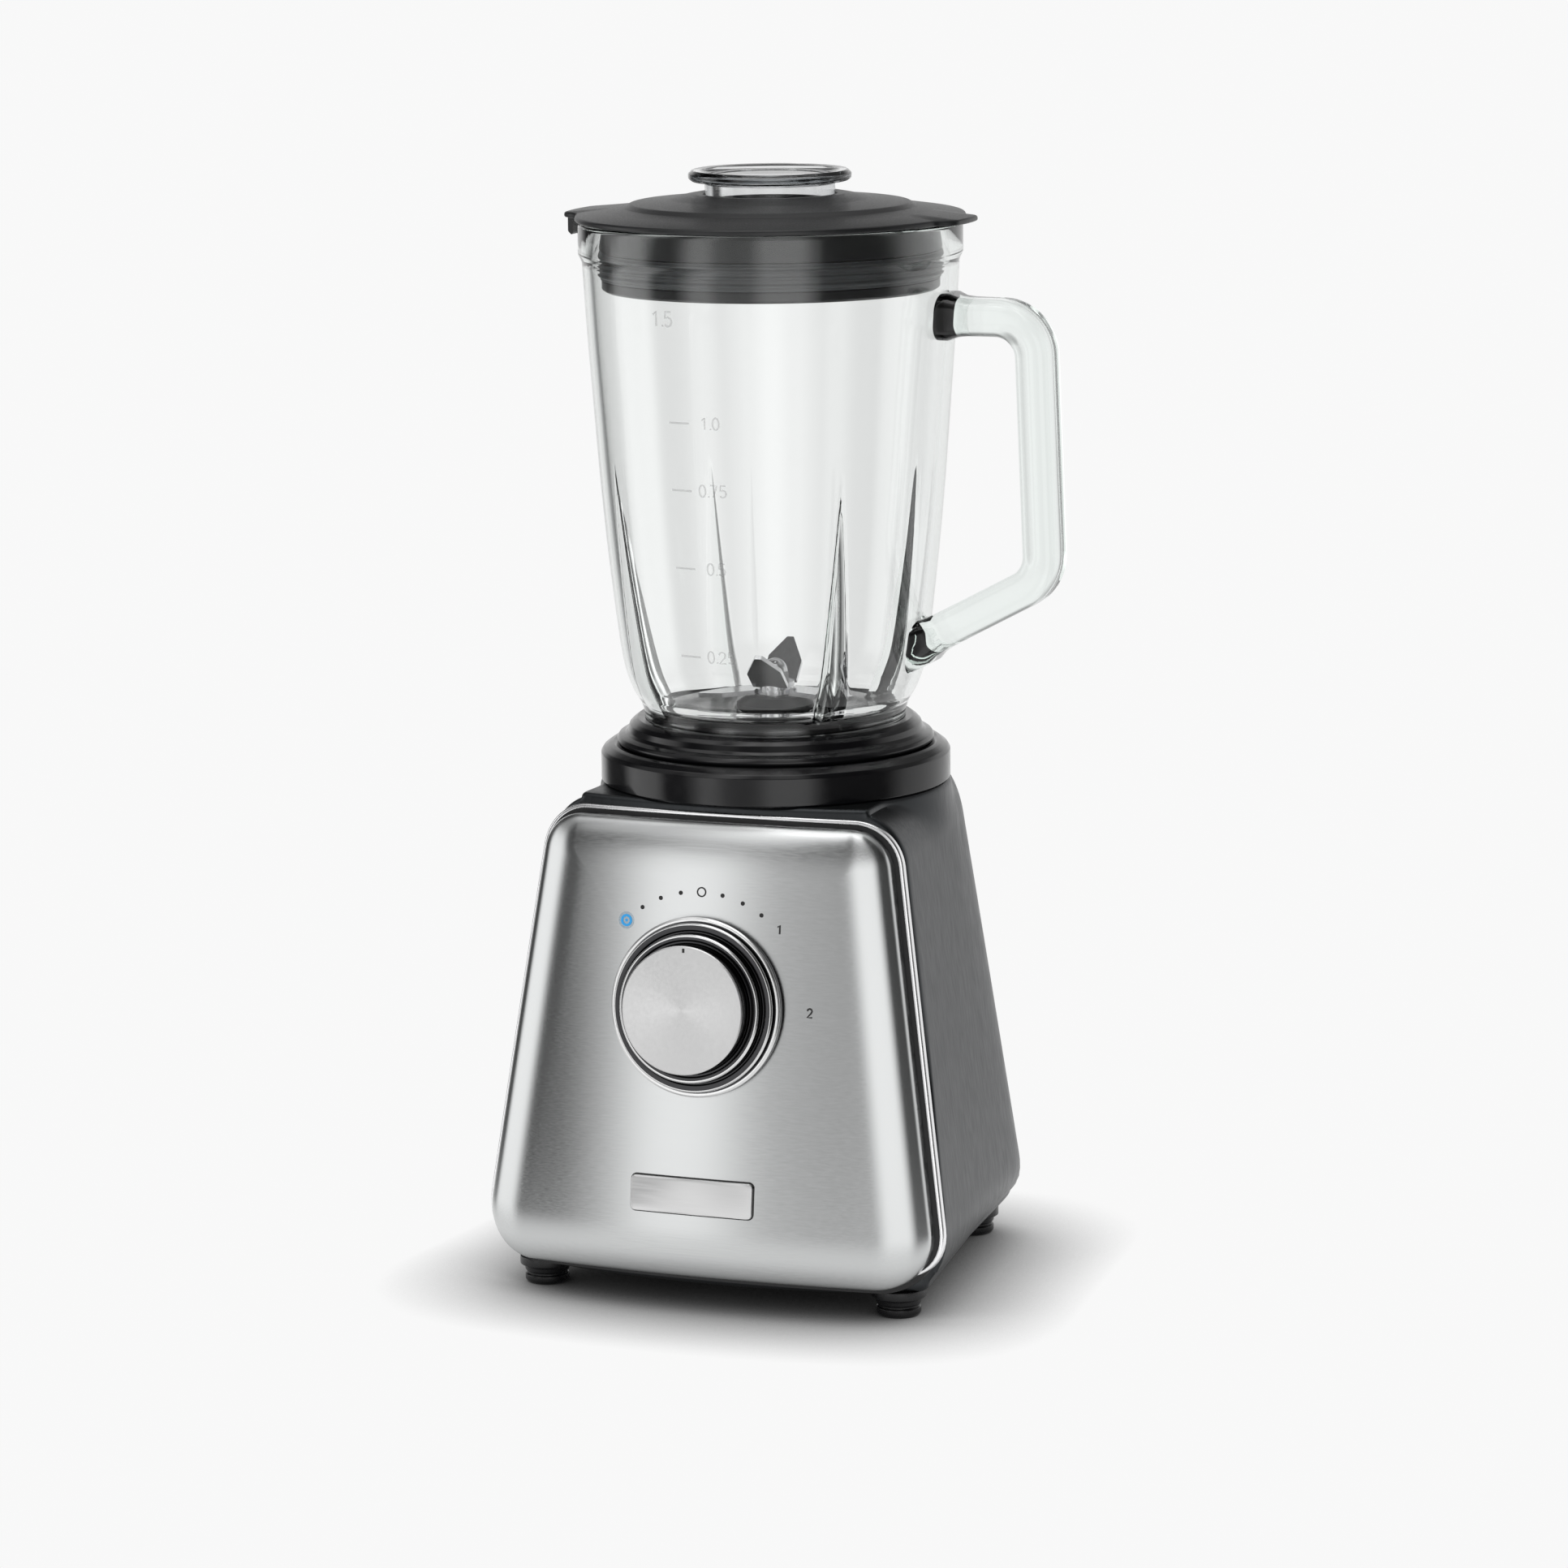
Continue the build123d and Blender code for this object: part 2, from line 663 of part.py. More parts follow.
def make_lower_blade():
    return make_blade(blade_seat_z, 22.0, -6.0, 10)


def make_upper_blade():
    return make_blade(blade_seat_z + 2.6, 21.0, 38.0, 95)


def make_blade_washers():
    washers = [ring(5.6, 3.0, blade_seat_z - 0.5, blade_seat_z),
               ring(5.6, 3.0, blade_seat_z + blade_sheet, blade_seat_z + 2.6)]
    return Compound(washers)


def make_blade_nut():
    low = blade_seat_z + 2.6 + blade_sheet
    nut = Pos(0, 0, low) * extrude(RegularPolygon(5.2, 6), 3.6)
    dome = Pos(0, 0, low + 3.6) * (Sphere(4.6) & Pos(0, 0, 3) * Box(12, 12, 6))
    top = blade_seat_z + 10.0
    return nut + dome - rod(3.0, low - 1, top)


def make_driven_coupling():
    low, high = deck_z + 2.5, deck_z + 12.0
    cup = rod(14.6, low, high)
    socket = star(coupling_radius + 0.5, 2.4, low - 1, coupling_high + 0.6)
    cup = cup - socket - rod(spindle_radius, low, high + 1)
    return cup


# ---------------------------------------------------------------- lid and cap
def make_lid():
    skirt_in = lid_skirt_radius - lid_wall
    low = lid_skirt_bottom_z
    under = rim_z + lift_gap
    inner_lip = filler_radius
    lid = revolved((
        (lid_skirt_radius - 1.2, low), (lid_skirt_radius, low + 1.0), (lid_skirt_radius, low + 4.0),
        (lid_skirt_radius - 1.2, low + 4.0), (lid_skirt_radius - 1.2, low + 14.0),
        (lid_skirt_radius + 1.2, low + 14.0), (lid_skirt_radius + 1.2, under),
        (lid_flange_radius, under), (lid_flange_radius + 0.6, under + 0.8), (lid_flange_radius, under + 2.2),
        (lid_dome_radius, under + 5.4), (lid_crest_radius + 4.0, lid_crest_z - 0.9),
        (lid_crest_radius, lid_crest_z), (cap_neck_radius + 0.5, lid_crest_z),
        (cap_neck_radius + 0.5, lid_crest_z - 6.0), (inner_lip, lid_crest_z - 6.0),
        (inner_lip, lid_crest_z - 14.0), (inner_lip + 2.0, lid_crest_z - 14.0),
        (inner_lip + 2.4, lid_crest_z - 9.0), (lid_dome_radius, under + 2.0), (skirt_in, under - 1.0),
        (skirt_in, low)))
    tab_low = under
    root = lid_flange_radius - 8
    handle_tab = Pos(0, 0, tab_low) * extrude(make_tab(root, handle_tab_reach, 17.0, 6.0), 2.2)
    spout_tab = Pos(0, 0, tab_low) * extrude(make_tab(root, spout_tab_reach, 20.0, 9.0), 2.2)
    hook = box(-(spout_tab_reach - 1.1), 0, under - 7.0, 2.2, 12.0, 7.4)
    return lid + handle_tab + Rot(0, 0, 180) * spout_tab + hook


def make_tab(start, end, half_root, half_tip):
    """A tab outline that runs outwards along +X with a rounded tip."""
    face = make_face(Polyline((start, -half_root), (end, -half_tip), (end, half_tip), (start, half_root), close=True))
    return fillet(face.vertices().sort_by(Axis.X)[-2:], 3.0)


def make_lid_seal():
    inner = lid_skirt_radius - 1.2
    low = lid_skirt_bottom_z + 4.2
    outer = inner + 1.6
    points = [(inner, low), (outer, low)]
    for index in range(3):
        z = low + 1.0 + index * 3.2
        points += [(outer, z), (outer + 0.9, z + 0.6), (outer + 0.9, z + 1.2), (outer, z + 1.8)]
    points += [(outer, low + 9.6), (inner, low + 9.6)]
    return revolved(points)


def make_filler_cap():
    top = total_height
    disc_low = top - cap_disc_thickness
    neck_low = lid_crest_z - 6.0 + lift_gap
    spigot = filler_radius - sliding_clearance
    return revolved((
        (0, top - 1.6), (cap_radius - 5.0, top - 1.6), (cap_radius - 3.6, top), (cap_radius - 1.0, top),
        (cap_radius, top - 1.0), (cap_radius, disc_low + 0.8), (cap_radius - 0.8, disc_low),
        (cap_neck_radius, disc_low), (cap_neck_radius, neck_low), (spigot, neck_low),
        (spigot, lid_crest_z - 20.0), (spigot - cap_wall, lid_crest_z - 20.0),
        (spigot - cap_wall, top - 4.2), (0, top - 4.2)))


# ---------------------------------------------------------------- dial that turns
def make_knob():
    gap = 0.3
    start = dial_base_height + 0.02 + gap
    points = ((0, start), (dial_ring_radius, start), (dial_ring_radius, dial_ring_height - 0.5),
              (dial_ring_radius - 0.5, dial_ring_height), (dial_step_radius + 0.8, dial_ring_height),
              (dial_step_radius, dial_ring_height + 0.8), (dial_step_radius, dial_step_height - 0.5),
              (dial_step_radius - 0.5, dial_step_height), (dial_face_radius + 0.6, dial_step_height),
              (dial_face_radius, dial_step_height + 0.8), (dial_face_radius, dial_face_height - 1.0),
              (0, dial_face_height - 1.0))
    knob = revolved(points) - rod(knob_shaft_radius, 0, dial_face_height - 3)
    return dial_place * knob


def make_knob_cap():
    low = dial_face_height - 1.0
    cap = rod(dial_face_radius, low, dial_face_height)
    cap = chamfer(cap.edges().sort_by(Axis.Z)[-1], 0.4)
    notch = box(0, dial_face_radius - 2.2, dial_face_height - 0.5, 1.4, 3.0, 1.0)
    return dial_place * (cap - notch)


def make_knob_shaft():
    start = -front_depth - housing_wall - 6.0
    return dial_place * rod(knob_shaft_radius, start, dial_face_height - 3)


# ---------------------------------------------------------------- every piece by name
def make_parts():
    low_bearing, high_bearing = (35.5, 42.5), (bracket_top_z - 4.5, bracket_top_z + 2.5)
    parts = {
        "housing": make_housing(), "base_plate": make_base_plate(), "base_screws": make_base_screws(),
        "front_panel": make_front_panel(), "panel_gasket": make_panel_gasket(), "edge_trim": make_edge_trim(),
        "seat_collar": make_seat_collar(), "deck_seal": make_deck_seal(), "badge": make_badge(),
        "dial_bezel": make_dial_bezel(), "rotary_switch": make_rotary_switch(), "cord_gland": make_cord_gland(),
        "motor_stator": make_motor_stator(), "field_coils": make_field_coils(),
        "upper_motor_bracket": make_upper_bracket(), "lower_motor_bracket": make_lower_bracket(),
        "upper_bearing": make_bearing(*high_bearing), "lower_bearing": make_bearing(*low_bearing),
        "motor_screws": make_motor_screws(), "motor_mounts": make_motor_mounts(),
        "mount_screws": make_mount_screws(), "carbon_brushes": make_carbon_brushes(),
        "brush_holders": make_brush_holders(), "interlock_switch": make_interlock_switch(),
        "interlock_spring": make_interlock_spring(), "noise_capacitor": make_capacitor(),
        "thermal_cutout": make_thermal_cutout(),
        "motor_shaft": make_motor_shaft(), "armature_core": make_armature_core(),
        "armature_windings": make_armature_windings(), "commutator": make_commutator(),
        "cooling_fan": make_cooling_fan(), "drive_coupling": make_drive_coupling(),
        "interlock_pin": make_interlock_pin(),
        "knob": make_knob(), "knob_cap": make_knob_cap(), "knob_shaft": make_knob_shaft(),
        "jug": make_jug(), "blade_base": make_blade_base(), "jug_seal": make_jug_seal(),
        "blade_bush": make_blade_bush(), "spindle_seal": make_spindle_seal(),
        "spindle": make_spindle(), "lower_blade": make_lower_blade(), "upper_blade": make_upper_blade(),
        "blade_washers": make_blade_washers(), "blade_nut": make_blade_nut(),
        "driven_coupling": make_driven_coupling(),
        "lid": make_lid(), "lid_seal": make_lid_seal(), "filler_cap": make_filler_cap(),
    }
    for name, (x, y) in foot_places.items():
        parts[name] = make_foot(x, y)
    return parts


def to_row_frame(parts):
    """The move that puts the middle of the whole object's box at X = Y = 0."""
    boxes = [piece.bounding_box() for piece in parts.values()]
    low_x, high_x = min(b.min.X for b in boxes), max(b.max.X for b in boxes)
    low_y, high_y = min(b.min.Y for b in boxes), max(b.max.Y for b in boxes)
    return (-(low_x + high_x) / 2, -(low_y + high_y) / 2, 0)


if __name__ == "__main__":
    os.makedirs("parts", exist_ok=True)
    all_parts = make_parts()
    move = to_row_frame(all_parts)
    for name, piece in all_parts.items():
        export_step(Pos(*move) * piece, f"parts/{name}.step")
    print("move to the row frame", move)
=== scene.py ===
"""Looks of the countertop blender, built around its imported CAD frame.

Lengths inside the script are millimetres from the drive axis (X right, Y back, Z up);
`at` turns them into metres in the shared frame.
"""
import json
from math import asin, ceil, cos, exp, log, pi, radians, sin, sqrt, tan

import bmesh
import bpy
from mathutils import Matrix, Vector


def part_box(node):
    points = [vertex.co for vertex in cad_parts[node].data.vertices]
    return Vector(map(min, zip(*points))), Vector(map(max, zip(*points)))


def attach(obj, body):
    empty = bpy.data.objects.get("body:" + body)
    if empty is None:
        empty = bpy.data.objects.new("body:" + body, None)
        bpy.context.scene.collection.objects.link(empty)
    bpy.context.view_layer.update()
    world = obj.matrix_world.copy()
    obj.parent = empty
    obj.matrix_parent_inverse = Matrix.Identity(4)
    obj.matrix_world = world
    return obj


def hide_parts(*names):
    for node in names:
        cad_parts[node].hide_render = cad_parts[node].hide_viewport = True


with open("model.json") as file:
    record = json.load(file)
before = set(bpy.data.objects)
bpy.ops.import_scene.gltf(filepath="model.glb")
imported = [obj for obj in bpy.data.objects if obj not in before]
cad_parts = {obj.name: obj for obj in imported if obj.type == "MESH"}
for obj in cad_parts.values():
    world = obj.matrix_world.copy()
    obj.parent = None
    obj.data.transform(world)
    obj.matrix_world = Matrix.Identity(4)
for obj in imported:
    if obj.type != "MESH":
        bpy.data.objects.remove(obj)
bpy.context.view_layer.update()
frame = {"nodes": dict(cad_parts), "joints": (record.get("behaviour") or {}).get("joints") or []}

MM = 0.001
TURN = 2 * pi

# ---------------------------------------------------------------- places taken from the frame
shaft_low, shaft_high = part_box("motor_shaft")
drive_x = (shaft_low.x + shaft_high.x) / 2
drive_y = (shaft_low.y + shaft_high.y) / 2


def at(x, y, z):
    """A point given in millimetres from the drive axis, in metres in the shared frame."""
    return Vector((drive_x + x * MM, drive_y + y * MM, z * MM))


def span(node):
    """Lowest and highest corner of a CAD node, in millimetres from the drive axis."""
    low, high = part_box(node)
    origin = Vector((drive_x, drive_y, 0))
    return (low - origin) / MM, (high - origin) / MM


dial_joint = next(joint for joint in frame["joints"] if joint["name"] == "dial_turn")
dial_centre = Vector(dial_joint["pos_m"])
panel_out = Vector(dial_joint["axis"])
panel_right = Vector((1, 0, 0))
panel_up = panel_out.cross(panel_right)
lean = asin(panel_out.z)

# ---------------------------------------------------------------- shape of the front, in millimetres
crown_radius = 330.0
panel_half_bottom = 87.2
panel_half_top = 63.8
panel_corner_bottom = 19.0
panel_corner_top = 15.0
panel_bottom_z = 14.5
panel_top_z = 175.5
roll_width = 19.0
roll_depth = 6.4
panel_sheet = 1.0
panel_back = 10.6              # depth of the panel's rim behind its foremost line
gasket_gap = 1.4
trim_width = 1.7
trim_tuck = 4.6                # the trim passes this far behind the panel along the bottom
dial_height = dial_centre.z / MM


def crown(x):
    """Height of the crowned front surface at x; it falls away to both sides."""
    return sqrt(crown_radius ** 2 - x * x) - crown_radius


def on_panel(x, rise, lift):
    """A point at x, `rise` up the leaning panel from the dial, `lift` above the crowned surface."""
    local = panel_right * x + panel_up * rise + panel_out * (crown(x) + lift)
    return dial_centre + local * MM


# ---------------------------------------------------------------- mesh helpers
def circle(steps):
    """Evenly spaced angles of one turn."""
    return [TURN * index / steps for index in range(steps)]


def arc_corner(before, corner, after, radius, steps):
    """Points of the arc that replaces a corner, exact for any turn."""
    a, b, c = Vector(before), Vector(corner), Vector(after)
    to_a, to_c = a - b, c - b
    half = to_a.angle(to_c) / 2
    reach = min(radius / tan(half), 0.48 * to_a.length, 0.48 * to_c.length)
    start, end = b + to_a.normalized() * reach, b + to_c.normalized() * reach
    weight = sin(half)
    points = []
    for step in range(steps + 1):
        t = step / steps
        share = ((1 - t) ** 2, 2 * weight * t * (1 - t), t * t)
        points.append((start * share[0] + b * share[1] + end * share[2]) / sum(share))
    return points


def rounded(points, radius, steps=4, closed=True):
    """The polygon with its corners turned into arcs; `radius` is one value or one for each point."""
    radii = radius if hasattr(radius, "__len__") else [radius] * len(points)
    result = []
    for index, point in enumerate(points):
        at_end = not closed and index in (0, len(points) - 1)
        if at_end or radii[index] <= 0:
            result.append(Vector(point))
            continue
        after = points[(index + 1) % len(points)]
        result += arc_corner(points[index - 1], point, after, radii[index], steps)
    return result


def skin(rings, loop=False):
    """Vertices and faces over closed rings of points; the ends are capped, or joined by `loop`."""
    count = len(rings[0])
    points = [point for ring in rings for point in ring]
    faces = []
    for row in range(len(rings) if loop else len(rings) - 1):
        first, second = row * count, (row + 1) % len(rings) * count
        for column in range(count):
            following = (column + 1) % count
            faces.append((first + column, first + following, second + following, second + column))
    if not loop:
        faces.append(tuple(reversed(range(count))))
        faces.append(tuple(range(len(points) - count, len(points))))
    return points, faces


def lathe_rings(profile, segments=160):
    """Rings about the drive axis from (radius, z) points."""
    angles = circle(segments)
    return [[at(r * cos(a), r * sin(a), z) for a in angles] for r, z in profile]


def placed(name, data):
    """A new object in the scene."""
    obj = bpy.data.objects.new(name, data)
    bpy.context.scene.collection.objects.link(obj)
    return obj


def build(name, geometry, material, crease=32.0):
    """A mesh object from (points, faces), with outward normals and smooth shading up to `crease` degrees."""
    points, faces = geometry
    mesh = bpy.data.meshes.new(name)
    mesh.from_pydata([tuple(point) for point in points], [], faces)
    work = bmesh.new()
    work.from_mesh(mesh)
    bmesh.ops.remove_doubles(work, verts=work.verts, dist=1e-7)
    bmesh.ops.recalc_face_normals(work, faces=work.faces)
    work.to_mesh(mesh)
    work.free()
    smooth(mesh, crease)
    mesh.materials.append(material)
    return placed(name, mesh)


def smooth(mesh, crease):
    for polygon in mesh.polygons:
        polygon.use_smooth = True
    mesh.set_sharp_from_angle(angle=radians(crease))


def join_geometry(parts):
    """Several (points, faces) as one."""
    points, faces = [], []
    for some_points, some_faces in parts:
        start = len(points)
        points += some_points
        faces += [tuple(start + index for index in face) for face in some_faces]
    return points, faces


def belongs(obj, body, slot, *nodes):
    """The piece rides on a body and stands for CAD nodes; `slot` is not used."""
    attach(obj, body)
    if nodes:
        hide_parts(*nodes)


def piece(name, geometry, material, crease, body, slot, *nodes):
    """Builds a mesh object and says what it belongs to."""
    belongs(build(name, geometry, material, crease), body, slot, *nodes)


def apply_modifier(obj, kind, **settings):
    """Adds a modifier with these settings and bakes it into the mesh."""
    modifier = obj.modifiers.new(kind.lower(), kind)
    for key, value in settings.items():
        setattr(modifier, key, value)
    evaluated = obj.evaluated_get(bpy.context.evaluated_depsgraph_get())
    mesh = bpy.data.meshes.new_from_object(evaluated)
    old = obj.data
    obj.modifiers.clear()
    obj.data = mesh
    mesh.name = old.name
    bpy.data.meshes.remove(old)


# ---------------------------------------------------------------- materials
def new_material(name):
    material = bpy.data.materials.new(name)
    material.use_nodes = True
    return material, material.node_tree.nodes


def put(node, **values):
    """Sets a node's inputs; an underscore stands for a space in an input's name."""
    for key, value in values.items():
        node.inputs[key.replace("_", " ")].default_value = value


def added(nodes, kind, **values):
    """A new shader node of this kind with these inputs set."""
    node = nodes.new("ShaderNode" + kind)
    put(node, **values)
    return node


def wire(source, output, target, socket):
    """Links a node's output to another node's input."""
    source.id_data.links.new(source.outputs[output], target.inputs[socket])


def surface(name, colour, roughness, metallic=0.0, grain=None, bump=0.0, tone=0.0,
            spread=0.0, detail=4.0, **sockets):
    """A Principled material; `grain` is noise cells per metre, one value or one each along X, Y and Z.
    It drives `bump` metres of relief, `tone` of colour change and `spread` of roughness change."""
    material, nodes = new_material(name)
    shader = nodes["Principled BSDF"]
    put(shader, Base_Color=(*colour, 1), Roughness=roughness, Metallic=metallic, **sockets)
    if grain is None:
        return material
    place = added(nodes, "TexCoord")
    scale = added(nodes, "Mapping", Scale=grain if hasattr(grain, "__len__") else (grain,) * 3)
    noise = added(nodes, "TexNoise", Scale=1.0, Detail=detail)
    wire(place, "Object", scale, "Vector")
    wire(scale, "Vector", noise, "Vector")
    if tone:
        mix = added(nodes, "Mix")
        mix.data_type = "RGBA"
        dark = tuple(channel * (1 - tone) for channel in colour)
        light = tuple(min(1.0, channel * (1 + tone)) for channel in colour)
        put(mix, A=(*dark, 1), B=(*light, 1))
        wire(noise, "Fac", mix, "Factor")
        wire(mix, "Result", shader, "Base Color")
    if spread:
        remap = added(nodes, "MapRange", From_Min=0.3, From_Max=0.7, To_Min=roughness - spread,
                      To_Max=roughness + spread)
        wire(noise, "Fac", remap, "Value")
        wire(remap, "Result", shader, "Roughness")
    if bump:
        relief = added(nodes, "Bump", Distance=bump, Strength=1.0)
        wire(noise, "Fac", relief, "Height")
        wire(relief, "Normal", shader, "Normal")
    return material


def spun(material, axis):
    """Turns a material's anisotropy round an axis, as on a lathe-finished face."""
    nodes = material.node_tree.nodes
    tangent = added(nodes, "Tangent")
    tangent.direction_type = "RADIAL"
    tangent.axis = axis
    wire(tangent, "Tangent", nodes["Principled BSDF"], "Tangent")
    return material


def glass(name, colour, density, roughness=0.0, ior=1.5):
    """Clear glass or plastic whose body absorbs a little light."""
    material = surface(name, (1, 1, 1), roughness, grain=(60, 60, 25), bump=0.00002, detail=1.0,
                       Transmission_Weight=1.0, IOR=ior)
    nodes = material.node_tree.nodes
    absorb = added(nodes, "VolumeAbsorption", Color=(*colour, 1), Density=density)
    wire(absorb, "Volume", nodes["Material Output"], "Volume")
    return material


def glow(name, colour, strength):
    """A material that gives off light."""
    material, nodes = new_material(name)
    put(nodes["Principled BSDF"], Base_Color=(*colour, 1), Emission_Color=(*colour, 1),
        Emission_Strength=strength)
    return material


steel_front = surface("steel_front", (0.62, 0.63, 0.63), 0.23, 1.0, grain=(14, 2600, 2600),
                      bump=0.000007, tone=0.08, spread=0.03, Anisotropic=0.8)
dark_body = surface("dark_body", (0.045, 0.048, 0.051), 0.34, 0.85, grain=(900, 900, 60),
                    bump=0.000008, tone=0.06, spread=0.05)
polished = surface("polished_trim", (0.93, 0.93, 0.94), 0.26, 1.0, grain=300,
                   tone=0.03, spread=0.03)
black_gloss = surface("black_gloss", (0.006, 0.006, 0.007), 0.16, grain=260,
                      bump=0.000015, spread=0.04)
black_satin = surface("black_satin", (0.01, 0.01, 0.011), 0.42, grain=1500,
                      bump=0.00002, tone=0.15, spread=0.05)
charcoal = surface("lid_charcoal", (0.012, 0.0125, 0.0135), 0.36, grain=1800,
                   bump=0.00004, tone=0.12, spread=0.06)
rubber = surface("rubber_black", (0.006, 0.006, 0.007), 0.3, grain=900,
                 bump=0.00003, spread=0.08)
seal_grey = surface("seal_grey", (0.10, 0.104, 0.108), 0.42, grain=700,
                    bump=0.00002, tone=0.06, Subsurface_Weight=0.05)
bezel_steel = surface("bezel_steel", (0.75, 0.75, 0.75), 0.2, 1.0, grain=500,
                      tone=0.03, spread=0.04)
spun_steel = spun(surface("spun_steel", (0.68, 0.68, 0.68), 0.34, 1.0, grain=900,
                          tone=0.02, spread=0.03, Anisotropic=0.55), "Y")
badge_silver = surface("badge_silver", (0.78, 0.78, 0.78), 0.4, 1.0, grain=(40, 2200, 2200),
                       bump=0.000006, tone=0.04, spread=0.05)
# Black print ink; the same black also draws the painted shadow line round the badge.
print_and_shade_black = surface("print_and_shade_black", (0.02, 0.02, 0.02), 0.5, grain=800, tone=0.1)
scale_white = surface("scale_frost", (0.55, 0.56, 0.56), 0.6, grain=900, tone=0.05,
                      Alpha=0.22)
blade_steel = surface("blade_steel", (0.62, 0.62, 0.63), 0.2, 1.0, grain=(1500, 60, 1500),
                      bump=0.00001, tone=0.05, spread=0.06)
turned_steel = surface("turned_steel", (0.5, 0.5, 0.5), 0.3, 1.0, grain=(120, 120, 3000),
                       bump=0.00001, tone=0.06, spread=0.05)
lamination = surface("lamination", (0.22, 0.22, 0.23), 0.5, 0.9, grain=(20, 20, 3000),
                     bump=0.00004, tone=0.15)
copper = surface("enamelled_copper", (0.55, 0.22, 0.09), 0.32, 1.0, grain=(60, 60, 1600),
                 bump=0.00008, tone=0.15)
bronze = surface("sintered_bronze", (0.45, 0.33, 0.16), 0.5, 1.0, grain=2000,
                 bump=0.00003, tone=0.12)
cast_alloy = surface("cast_alloy", (0.55, 0.56, 0.57), 0.55, 0.9, grain=1200,
                     bump=0.00005, tone=0.08)
carbon = surface("carbon", (0.03, 0.03, 0.03), 0.7, grain=2500, bump=0.00003, tone=0.2)
white_plastic = surface("white_plastic", (0.72, 0.72, 0.69), 0.5, grain=900,
                        bump=0.00002, tone=0.04)
jug_glass = glass("jug_glass", (0.45, 0.78, 0.62), 7.0)
cap_clear = glass("cap_clear", (0.50, 0.53, 0.55), 40.0, roughness=0.03, ior=1.45)
blue_light = glow("blue_light", (0.02, 0.22, 0.48), 0.8)
# See-through blue tint round the pulse light: painted glow on the steel; it gives off no light.
painted_blue_glow = surface("painted_blue_glow", (0.20, 0.50, 0.75), 0.5, grain=900, tone=0.05,
                    Alpha=0.22)
# Steel of the bezel and knob sides coloured near black: painted shade standing in for dark reflections on
# bright metal.
knob_steel_painted_dark = surface("knob_side_painted_dark", (0.05, 0.05, 0.052), 0.16, 1.0, grain=400,
                    tone=0.05, spread=0.04)


def brushed(material):
    """Stretches a material's highlights up the panel, across its horizontal brushing."""
    nodes = material.node_tree.nodes
    tangent = added(nodes, "Tangent")
    tangent.direction_type = "UV_MAP"
    tangent.uv_map = "brushing"
    wire(tangent, "Tangent", nodes["Principled BSDF"], "Tangent")


brushed(steel_front)


def paint_nodes():
    """Gives every CAD node that stays visible its material."""
    finishes = {
        black_satin: ("base_plate", "panel_gasket", "rotary_switch", "brush_holders",
                      "interlock_switch", "interlock_pin", "thermal_cutout", "cord_gland",
                      "drive_coupling", "driven_coupling", "blade_bush"),
        rubber: ("deck_seal", "motor_mounts", "spindle_seal"),
        seal_grey: ("jug_seal",),
        blade_steel: ("lower_blade", "upper_blade", "blade_washers", "blade_nut", "spindle"),
        turned_steel: ("motor_shaft", "knob_shaft", "motor_screws", "mount_screws",
                       "base_screws", "interlock_spring"),
        lamination: ("motor_stator", "armature_core"),
        copper: ("field_coils", "armature_windings", "commutator"),
        bronze: ("upper_bearing", "lower_bearing"),
        cast_alloy: ("upper_motor_bracket", "lower_motor_bracket"),
        carbon: ("carbon_brushes",),
        white_plastic: ("cooling_fan", "noise_capacitor"),
    }
    for material, names in finishes.items():
        for name in names:
            mesh = frame["nodes"][name].data
            mesh.materials.clear()
            mesh.materials.append(material)


# ---------------------------------------------------------------- front panel, trim and badge
def panel_outline(grow):
    """Rounded trapezoid of the front in (x, rise) points, grown outwards by `grow`."""
    low = (panel_bottom_z - dial_height) / cos(lean)
    high = (panel_top_z - dial_height) / cos(lean)
    tilt = (panel_half_bottom - panel_half_top) / (high - low)
    side = grow * sqrt(1 + tilt * tilt)
    half_low = panel_half_bottom + side + tilt * grow
    half_high = panel_half_top + side - tilt * grow
    corners = ((-half_low, low - grow), (half_low, low - grow),
               (half_high, high + grow), (-half_high, high + grow))
    radii = [max(2.0, radius + grow) for radius in
             (panel_corner_bottom, panel_corner_bottom, panel_corner_top, panel_corner_top)]
    arcs = []
    for index, corner in enumerate(corners):
        arcs.append(arc_corner(corners[index - 1], corner, corners[(index + 1) % 4], radii[index], 14))
    points = []
    for index, arc in enumerate(arcs):
        points += arc
        start, end = arc[-1], arcs[(index + 1) % 4][0]
        points += [start.lerp(end, step / 26) for step in range(1, 26)]
    return points


def panel_ring(grow, lift):
    return [on_panel(x, rise, lift) for x, rise in panel_outline(grow)]


def make_front_panel():
    """A pressed steel front: crowned face, wide soft roll and a rim that runs back."""
    face = panel_outline(-roll_width)
    middle = Vector((0.0, sum(point.y for point in face) / len(face)))
    rings = []
    for step in range(1, 26):
        share = step / 25
        rings.append([on_panel(*middle.lerp(point, share), 0) for point in face])
    roll_steps = 16
    for step in range(1, roll_steps + 1):
        angle = pi / 2 * step / roll_steps
        inset = roll_width * (1 - sin(angle))
        rings.append(panel_ring(-inset, -roll_depth * (1 - cos(angle))))
    rings.append(panel_ring(0, -panel_back))
    points, faces = skin(rings)
    panel = build("front_panel_steel", (points, faces[:-1]), steel_front, 40)
    apply_modifier(panel, "SOLIDIFY", thickness=panel_sheet * MM, offset=-1.0)
    layer = panel.data.uv_layers.new(name="brushing")
    for loop in panel.data.loops:
        place = panel.data.vertices[loop.vertex_index].co - dial_centre
        layer.data[loop.index].uv = (place.dot(panel_up) * 4, place.x * 4)
    belongs(panel, "power_unit", "front_steel", "front_panel")


